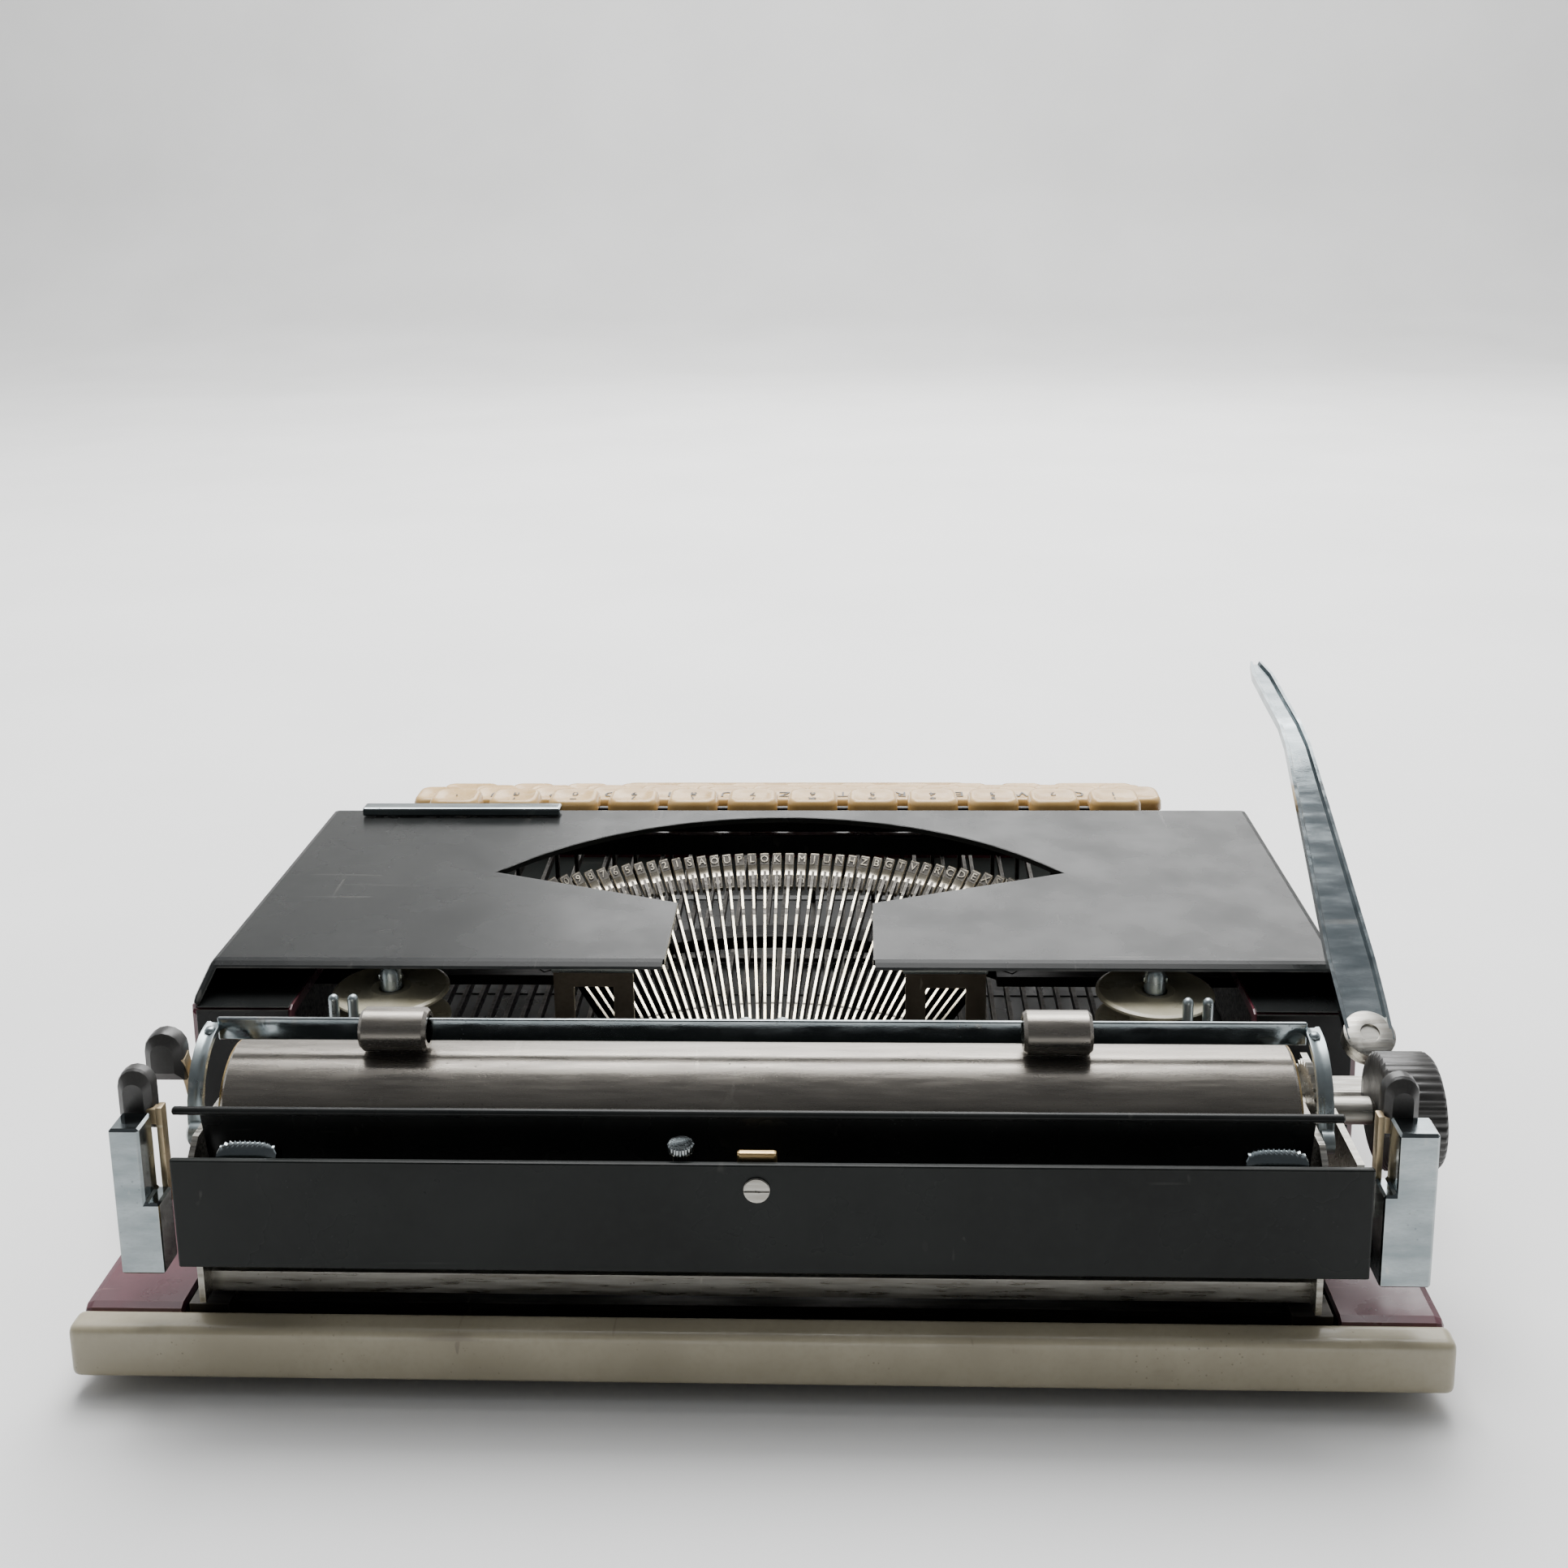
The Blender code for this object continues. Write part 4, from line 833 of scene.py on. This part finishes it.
def add_hinge_wire(mesh):
    reach = (BAR_COUNT - 1) / 2 * FAN_STEP + math.radians(1)
    rings = []
    for step in range(41):
        angle = reach * (step / 20 - 1)
        frame = fan_frame(angle)
        ring = []
        for corner in range(8):
            turn = 2 * math.pi * corner / 8
            radius = BAR_PIVOT_RADIUS + 0.0009 * math.cos(turn)
            ring.append(frame @ Vector((radius, BAR_PIVOT_Z + 0.0009 * math.sin(turn), 0)))
        rings.append(ring)
    loft(mesh, rings)


def make_basket_gear(shop):
    """The guide, the ribbon fork, the windowed plates, the slotted segment and the rest."""
    shop.piece("type_guide.arms", type_guide(), "satin_strap", "type_guide")
    shop.keep("ribbon_vibrator", "steel", 0.0002)
    for side, sign in (("left", -1), ("right", 1)):
        node = f"basket_plate_{side}"
        shop.keep(node, "brown_steel", 0.00025)
        near, far = sorted((sign * 0.0335, sign * 0.0545))
        lip = box((near, far), (0.0858, 0.0885), (0.0552, 0.0565), 0.0005, 3)
        shop.extra(f"{node}.lip", lip, "satin_strap", node)
    shop.keep("segment", "dark_steel", 0.0003)
    shop.extra("segment.comb", segment_comb(), "dark_steel", "segment")
    shop.keep("typebar_rest", "rubber", 0.0004)
    shop.keep("main_frame", "dark_steel", 0.0003)
    shop.keep("key_fulcrum_rod", "steel")


def type_guide():
    """Two round-topped arms on a bracket that runs back to the segment."""
    mesh = box((-0.0065, 0.0065), (0.0600, 0.0630), (0.0268, 0.0360), 0.0004)
    for inner, outer in ((0.0022, 0.0065), (-0.0065, -0.0022)):
        crown = [(outer, 0.0350), (outer, 0.0536)]
        middle, half = (inner + outer) / 2, (outer - inner) / 2
        for step in range(9):
            angle = math.pi * step / 8
            crown.append((middle + half * math.cos(angle), 0.0536 + 0.0017 * math.sin(angle)))
        crown += [(inner, 0.0536), (inner, 0.0350)]
        arm = prism(crown, lambda u, v, w: at(u, w, v), (0.0600, 0.0630))
        bmesh.ops.remove_doubles(arm, verts=arm.verts, dist=1e-6)
        merge(mesh, bevelled(arm, 0.0003, 2, 50))
    merge(mesh, box((-0.0050, 0.0050), (0.0620, 0.0935), (0.0268, 0.0283), 0.0003))
    merge(mesh, box((-0.0048, 0.0048), (0.0908, 0.0933), (0.0233, 0.0275), 0.0003))
    return mesh


def segment_comb():
    """The teeth between which the bars turn."""
    near, near_half = 0.0508, 0.00026
    far, far_half = 0.0583, 0.00034
    places = ((near, -near_half), (far, -far_half), (far, far_half), (near, near_half))
    mesh = bmesh.new()
    for index in range(BAR_COUNT + 1):
        frame = fan_frame((index - BAR_COUNT / 2) * FAN_STEP)
        loft(mesh, [
            [frame @ Vector((radius, z, side)) for radius, side in places]
            for z in (0.0229, 0.0262)
        ])
    return mesh


def make_ribbon_gear(shop):
    """Cream spools on grey shafts, each with two round-topped pins beside it."""
    for side, sign in (("left", -1), ("right", 1)):
        centre = at(sign * SPOOL_X, SPOOL_DEPTH, 0)
        profile = [
            (0.0031, 0.0492), (0.0050, 0.0495), (0.0062, 0.0490), (0.0120, 0.0489), (0.0138, 0.0494),
            (0.0146, 0.0490), (0.0146, 0.0484), (0.0136, 0.0481), (0.0060, 0.0482), (0.0060, 0.0413),
            (0.0136, 0.0414), (0.0146, 0.0411), (0.0146, 0.0405), (0.0138, 0.0400), (0.0031, 0.0400),
        ]
        spool = lathe(profile + [profile[0]], centre, "Z", 64)
        shop.piece(f"ribbon_spool_{side}.flanges", spool, "ivory", f"ribbon_spool_{side}", 30)
        post = [(0.0026, 0.0303), (0.0027, 0.0310), (0.0027, 0.0535), (0.0019, 0.0551)]
        shaft = lathe(post, centre, "Z", 24)
        pin = (sign * SPOOL_X - 0.0030, sign * SPOOL_X + 0.0030)
        merge(shaft, box(pin, (0.0893, 0.0907), (0.0515, 0.0530), 0.0003))
        shop.piece(f"spool_shaft_{side}.post", shaft, "satin_strap", f"spool_shaft_{side}")
        shop.piece(f"ribbon_guide_{side}.pins", ribbon_pins(sign), "satin_strap", f"ribbon_guide_{side}", 50)


def ribbon_pins(sign):
    near, far = sorted((sign * 0.0990, sign * 0.1088))
    mesh = box((near, far), (0.0722, 0.0900), (0.0303, 0.0318), 0.0003)
    dome = [(0.0013 * math.cos(a), 0.0537 + 0.0013 * math.sin(a)) for a in (0.0, 0.4, 0.8, 1.2, 1.55)]
    for x in (0.1015, 0.1063):
        merge(mesh, lathe([(0.0013, 0.0310)] + dome, at(sign * x, 0.0742, 0), "Z", 20))
    return mesh


# ---------------------------------------------------------------- carriage


def make_platen(shop):
    """The rubber roller with brass end rings, its shaft, ratchet and ribbed knob."""
    axis = at(0, *PLATEN_AXIS)
    radius, half = PLATEN_RADIUS, PLATEN_HALF
    profile = [(0.0031, -half), (radius - 0.0008, -half), (radius, -half + 0.0008)]
    profile += [(radius, half - 0.0008), (radius - 0.0008, half), (0.0031, half)]
    shop.piece("platen.roller", lathe(profile, axis, "X", 96), "platen_rubber", "platen", 30)
    shaft = rod(at(-0.1346, *PLATEN_AXIS), at(0.1192, *PLATEN_AXIS), 0.0030, 24)
    shop.piece("platen.shaft", shaft, "steel", "platen")
    rings = bmesh.new()
    for sign in (-1, 1):
        ring = [
            (0.0100, half + 0.0002), (0.0138, half + 0.0002),
            (0.0140, half - 0.0006), (0.0100, half - 0.0006),
        ]
        merge(rings, lathe([(r, sign * x) for r, x in ring], axis, "X", 64))
    shop.piece("platen.end_rings", rings, "brass", "platen")
    shop.keep("ratchet_wheel", "steel", 0.0002)
    shop.piece("platen_knob.grip", platen_knob(), "black_plastic", "platen_knob", 50)


def platen_knob():
    """A moulded knob with grip ribs and a recessed end."""
    profile = [
        (0.0095, -0.1350), (0.0115, -0.1351), (0.0125, -0.1358), (0.0125, -0.1460),
        (0.0118, -0.1468), (0.0104, -0.1470), (0.0090, -0.1466), (0.0040, -0.1464), (0.0004, -0.1464),
    ]
    ribbed = (2, 3)
    return lathe(
        profile, at(0, *PLATEN_AXIS), "X", 160,
        lambda step, index: (1.0, 0.985, 0.955, 0.985)[step % 4] if index in ribbed else 1.0,
    )


def make_bail(shop):
    """The paper bail: a flat bar, curved straps with rivets, and two rubber rollers."""
    depth, z = BAIL_AXIS
    bar = box((-0.1186, 0.1186), (depth - 0.0005, depth + 0.0005), (z - 0.0026, z + 0.0026), 0.0004, 3)
    shop.piece("paper_bail.bar", bar, "chrome", "paper_bail", 50)
    path = [(0.0340, 0.0676), (0.0315, 0.0675), (0.0290, 0.0670), (0.0262, 0.0657), (0.0236, 0.0636),
            (0.0215, 0.0607), (0.0201, 0.0570), (0.0194, 0.0530), (0.0192, 0.0505)]
    arms = bmesh.new()
    for sign in (-1, 1):
        x = sign * 0.1199
        stations = [(at(x, *place), 0.0033, 0.0013) for place in path]
        merge(arms, strip(stations, 0.0003))
        merge(arms, lathe([(0.0026, -0.0014), (0.0026, 0.0010), (0.0018, 0.0016), (0.0004, 0.0017)],
                          at(x, 0.019, 0.050), "X", 24))
        rivet = [(0.0012, -0.0004), (0.0012, 0.0001), (0.0008, 0.0006), (0.0002, 0.0007)]
        merge(arms, lathe(rivet, at(x - sign * 0.0002, 0.0305, 0.0680), "Z", 16))
    shop.piece("paper_bail.arms", arms, "satin_strap", "paper_bail", 50)
    for side, x in (("left", -0.0652), ("right", 0.0791)):
        half = 0.0074
        profile = [(0.0030, -half), (0.0040, -half), (0.0047, -half + 0.0008), (0.0047, half - 0.0008),
                   (0.0040, half), (0.0030, half), (0.0030, -half)]
        node = f"bail_roller_{side}"
        shop.piece(f"{node}.tyre", lathe(profile, at(x, *BAIL_AXIS), "X", 40), "platen_rubber", node)


def make_paper_path(shop):
    """The curved table with its bright rolled edge, and the feed rollers under the platen."""
    sheet = [(0.0108, 0.0592), (0.0135, 0.0480)]
    for step in range(1, 13):
        angle = math.radians(180 + 50 * step / 12)
        sheet.append((0.035 + 0.0215 * math.cos(angle), 0.048 + 0.0215 * math.sin(angle)))
    stations = [(at(0, depth + 0.0005, z), 0.2310, 0.0010) for depth, z in sheet]
    shop.piece("paper_table.sheet", strip(stations), "black_enamel", "paper_table", 60)
    roll = rod(at(-0.1212, 0.0108, 0.0598), at(0.1212, 0.0108, 0.0598), 0.0009, 20)
    shop.piece("paper_table.roll", roll, "black_enamel", "paper_table")
    for node in ("feed_roller_rear", "feed_roller_front"):
        shop.keep(node, "rubber", 0.0003)


def make_margin_gear(shop):
    shop.keep("margin_rail", "steel", 0.0002)
    for side, x in (("left", -0.1062), ("right", 0.1035)):
        node = f"margin_stop_{side}"
        shop.piece(f"{node}.grip", margin_stop(x), "chrome", node, 40)
    shop.keep("draw_clip", "brass")
    knurl = [(0.0022, 0.0509), (0.0022, 0.0549), (0.0026, 0.0550), (0.0028, 0.0553), (0.0028, 0.0565),
             (0.0025, 0.0568), (0.0009, 0.0566)]
    wheel = lathe(knurl, at(0.0140, 0.0050, 0), "Z", 72, lambda step, index: 0.95 if step % 3 == 2 else 1.0)
    shop.piece("knurled_wheel.rim", wheel, "chrome", "knurled_wheel", 25)


def margin_stop(x):
    """An arched sliding stop with ribs across its top and a tail that grips the rail."""
    mesh = box((x - 0.0050, x + 0.0050), (0.0061, 0.0072), (0.0470, 0.0530), 0.0003)
    rings = []
    ribs = 12
    for step in range(2 * ribs + 1):
        place = x - 0.0062 + 0.0124 * step / (2 * ribs)
        edge = 1 - 0.35 * abs(step / ribs - 1) ** 4
        reach = edge * (1.0 if step % 2 else 0.90)
        ring = [at(place, 0.0027, 0.0509), at(place, 0.0072, 0.0509)]
        for turn in range(9):
            angle = math.pi * turn / 8
            depth = 0.00495 + 0.00225 * math.cos(angle)
            ring.append(at(place, depth, 0.0520 + 0.0047 * reach * math.sin(angle)))
        rings.append(ring)
    arch = bmesh.new()
    loft(arch, rings)
    merge(mesh, arch)
    return mesh


def make_rear_face(shop):
    """The black panel with its slotted screw, and the chrome caps at both ends."""
    shop.keep("rear_panel", "panel", smooth=40)
    dish = [(0.0026, 0.0), (0.0027, 0.00008), (0.0027, 0.00014)]
    screw = lathe(dish, at(SCREW_X, 0.00029, SCREW_Z), "Y", 40)
    for low, high in ((0.3, 2.6), (-2.6, -0.3)):
        merge(screw, half_disc(SCREW_X, SCREW_Z, SCREW_RADIUS, low / 1000, high / 1000))
    shop.piece("panel_screw.head", screw, "steel", "panel_screw", 25)
    shop.keep("end_cap_left", "chrome", 0.0004, 40)
    shop.keep("end_cap_right", "chrome", 0.0004, 40)
    shop.keep("carriage_frame", "steel", 0.0003)
    shop.keep("rail_front", "dark_steel", 0.0003)
    shop.keep("rail_rear", "dark_steel", 0.0004)
    shop.keep("mainspring_drum", "brass")
    shop.keep("bell", "steel")


def half_disc(x, z, radius, low, high):
    """Part of a screw head on one side of its slot."""
    points = []
    for step in range(21):
        height = low + (high - low) * step / 20
        points.append((x + math.sqrt(max(radius**2 - height**2, 0)), z + height))
    for step in range(20, -1, -1):
        height = low + (high - low) * step / 20
        points.append((x - math.sqrt(max(radius**2 - height**2, 0)), z + height))
    return prism(points, lambda u, v, w: at(u, w, v), (0.00002, 0.00016))


def make_levers(shop):
    """The return lever, the carriage releases and the paper release."""
    stations = [
        (0.0525, 0.0553, 0.0104), (0.0600, 0.0602, 0.0109), (0.0700, 0.0666, 0.0112),
        (0.0960, 0.0834, 0.0090), (0.1240, 0.1015, 0.0066), (0.1310, 0.1049, 0.0060),
        (0.1440, 0.1079, 0.0059), (0.1570, 0.1110, 0.0058), (0.1640, 0.1127, 0.0030),
    ]
    xs = (-0.1385, -0.1384, -0.1382, -0.1379, -0.1375, -0.1370, -0.1362, -0.1355, -0.1350)
    blade = [(at(x, depth, z), width, 0.0023) for x, (depth, z, width) in zip(xs, stations)]
    shop.piece("return_lever.blade", strip(blade, 0.0011), "chrome", "return_lever", 40)
    hub = lathe([(0.0040, -0.0025), (0.0057, -0.0022), (0.0058, 0.0020), (0.0050, 0.0025), (0.0022, 0.0025),
                 (0.0020, 0.0020), (0.0003, 0.0020)], Vector((0, 0, 0)), "Z", 48)
    hub.transform(Matrix.Translation(at(*LEVER_HUB)) @ Matrix.Rotation(-LEVER_RISE, 4, "X"))
    shop.piece("return_lever.hub", hub, "steel", "return_lever")
    sides = {
        "left": ((-0.1284, -0.1270), (-0.1340, -0.1275), (-0.1355, -0.1282)),
        "right": ((0.1222, 0.1236), (0.1225, 0.1300), (0.1243, 0.1318)),
    }
    for side, (strap_x, bridge_x, tab_x) in sides.items():
        node = f"carriage_release_{side}"
        strap = box(strap_x, (0.0078, 0.0105), (0.0400, 0.0620), 0.0003)
        merge(strap, box(bridge_x, (0.0082, 0.0105), (0.0580, 0.0615), 0.0003))
        shop.piece(f"{node}.strap", strap, "tan_strap", node)
        tab = paddle(tab_x, (0.0080, 0.0125), (0.0565, 0.0700))
        shop.piece(f"{node}.tab", tab, "black_plastic", node, 25)
    start, end = at(0.1229, 0.0300, 0.0440), at(0.1229, 0.0228, 0.0660)
    strap = strip([(start, 0.0014, 0.0029), (end, 0.0014, 0.0029)])
    shop.piece("paper_release.strap", strap, "tan_strap", "paper_release")
    tab = paddle((0.1224, 0.1310), (0.0205, 0.0255), (0.0605, 0.0718))
    shop.piece("paper_release.tab", tab, "black_plastic", "paper_release", 25)


def paddle(x_range, depth_range, z_range):
    """A thumb tab with a round top and a broad chamfer round its face."""
    middle, half = sum(x_range) / 2, (x_range[1] - x_range[0]) / 2
    outline = [(half, z_range[0])]
    for step in range(9):
        angle = math.pi * step / 8
        outline.append((half * math.cos(angle), z_range[1] - half + half * math.sin(angle)))
    outline.append((-half, z_range[0]))
    centre_z = (z_range[0] + z_range[1] - half) / 2 + half / 2
    rear, front = depth_range
    rings = []
    layers = (
        (rear, 0.58), (rear + 0.0012, 0.95), (rear + 0.0018, 1.0), (front - 0.0006, 1.0), (front, 0.9),
    )
    for depth, scale in layers:
        rings.append([at(middle + u * scale, depth, centre_z + (v - centre_z) * scale) for u, v in outline])
    mesh = bmesh.new()
    loft(mesh, rings)
    return mesh


# ---------------------------------------------------------------- setting


def make_stage():
    """A pale floor that curves up behind."""
    mesh = bmesh.new()
    rows = []
    sweep = ((-1.6, 0.0), (0.9, 0.0), (1.9, 0.0), (2.2, 0.05), (2.4, 0.25), (2.5, 0.9), (2.5, 2.2))
    for depth, height in sweep:
        rows.append([mesh.verts.new((x, -depth, height)) for x in (-2.5, -0.8, 0.8, 2.5)])
    for first, second in zip(rows, rows[1:]):
        for index in range(3):
            mesh.faces.new((first[index], first[index + 1], second[index + 1], second[index]))
    data = bpy.data.meshes.new("floor")
    mesh.to_mesh(data)
    mesh.free()
    surface = Surface("floor")
    cloud = surface.noise(6, 4.0)
    colour = surface.mixed(surface.ranged(cloud, 0.3, 0.7), (0.86, 0.86, 0.85, 1.0), (0.80, 0.80, 0.79, 1.0))
    surface.tree.links.new(colour, surface.shader.inputs["Base Color"])
    surface.shader.inputs["Roughness"].default_value = 0.7
    data.materials.append(surface.material)
    data.shade_smooth()
    floor = bpy.data.objects.new("floor", data)
    bpy.context.scene.collection.objects.link(floor)


def make_lights():
    """A world brighter towards the keyboard side, and three soft area lamps."""
    world = bpy.data.worlds.new("pale")
    world.use_nodes = True
    tree = world.node_tree
    place = tree.nodes.new("ShaderNodeTexCoord")
    split = tree.nodes.new("ShaderNodeSeparateXYZ")
    strength = tree.nodes.new("ShaderNodeMapRange")
    strength.inputs["From Min"].default_value = 0.35
    strength.inputs["From Max"].default_value = -0.45
    strength.inputs["To Min"].default_value = 0.16
    strength.inputs["To Max"].default_value = 1.15
    tree.links.new(place.outputs["Generated"], split.inputs["Vector"])
    tree.links.new(split.outputs["Y"], strength.inputs["Value"])
    background = tree.nodes["Background"]
    background.inputs["Color"].default_value = (0.94, 0.96, 1.0, 1.0)
    tree.links.new(strength.outputs["Result"], background.inputs["Strength"])
    bpy.context.scene.world = world
    lamps = (
        ("overhead", (0.05, -0.25, 1.10), (0.0, 0.0, 0.0), 0.7, 13.0),
        ("far_window", (-0.2, -1.30, 1.05), (0.0, 0.0, 0.0), 1.2, 22.0),
        ("backdrop_wash", (0.0, -1.2, 2.4), (0.0, -2.4, 0.3), 2.0, 90.0),
    )
    for name, place, target, size, power in lamps:
        lamp = bpy.data.lights.new(name, "AREA")
        lamp.size = size
        lamp.energy = power
        obj = bpy.data.objects.new(name, lamp)
        obj.location = place
        aim = Vector(target) - Vector(place)
        obj.rotation_euler = aim.to_track_quat("-Z", "Y").to_euler()
        bpy.context.scene.collection.objects.link(obj)


def make_camera():
    """A low view of the machine's rear, tipped a little down and rolled slightly."""
    pitch, yaw, roll = CAMERA_PITCH, CAMERA_YAW, CAMERA_ROLL
    ahead = Vector((math.sin(yaw), -math.cos(yaw), 0))
    right = Vector((-math.cos(yaw), -math.sin(yaw), 0))
    up = Vector((0, 0, 1))
    look = ahead * math.cos(pitch) - up * math.sin(pitch)
    top = ahead * math.sin(pitch) + up * math.cos(pitch)
    side = right * math.cos(roll) - top * math.sin(roll)
    crown = right * math.sin(roll) + top * math.cos(roll)
    matrix = Matrix((side, crown, -look)).transposed().to_4x4()
    matrix.translation = Vector(CAMERA_PLACE)
    data = bpy.data.cameras.new("camera")
    data.sensor_width = 36.0
    data.lens = CAMERA_LENS
    data.shift_x, data.shift_y = CAMERA_SHIFT
    data.clip_start = 0.01
    camera = bpy.data.objects.new("camera", data)
    camera.matrix_world = matrix
    bpy.context.scene.collection.objects.link(camera)
    bpy.context.scene.camera = camera


def main():
    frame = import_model()
    shop = Workshop(frame)
    make_shells(shop)
    make_keyboard(shop)
    make_typebars(shop)
    make_basket_gear(shop)
    make_ribbon_gear(shop)
    make_platen(shop)
    make_bail(shop)
    make_paper_path(shop)
    make_margin_gear(shop)
    make_rear_face(shop)
    make_levers(shop)
    make_stage()
    make_lights()
    make_camera()


main()
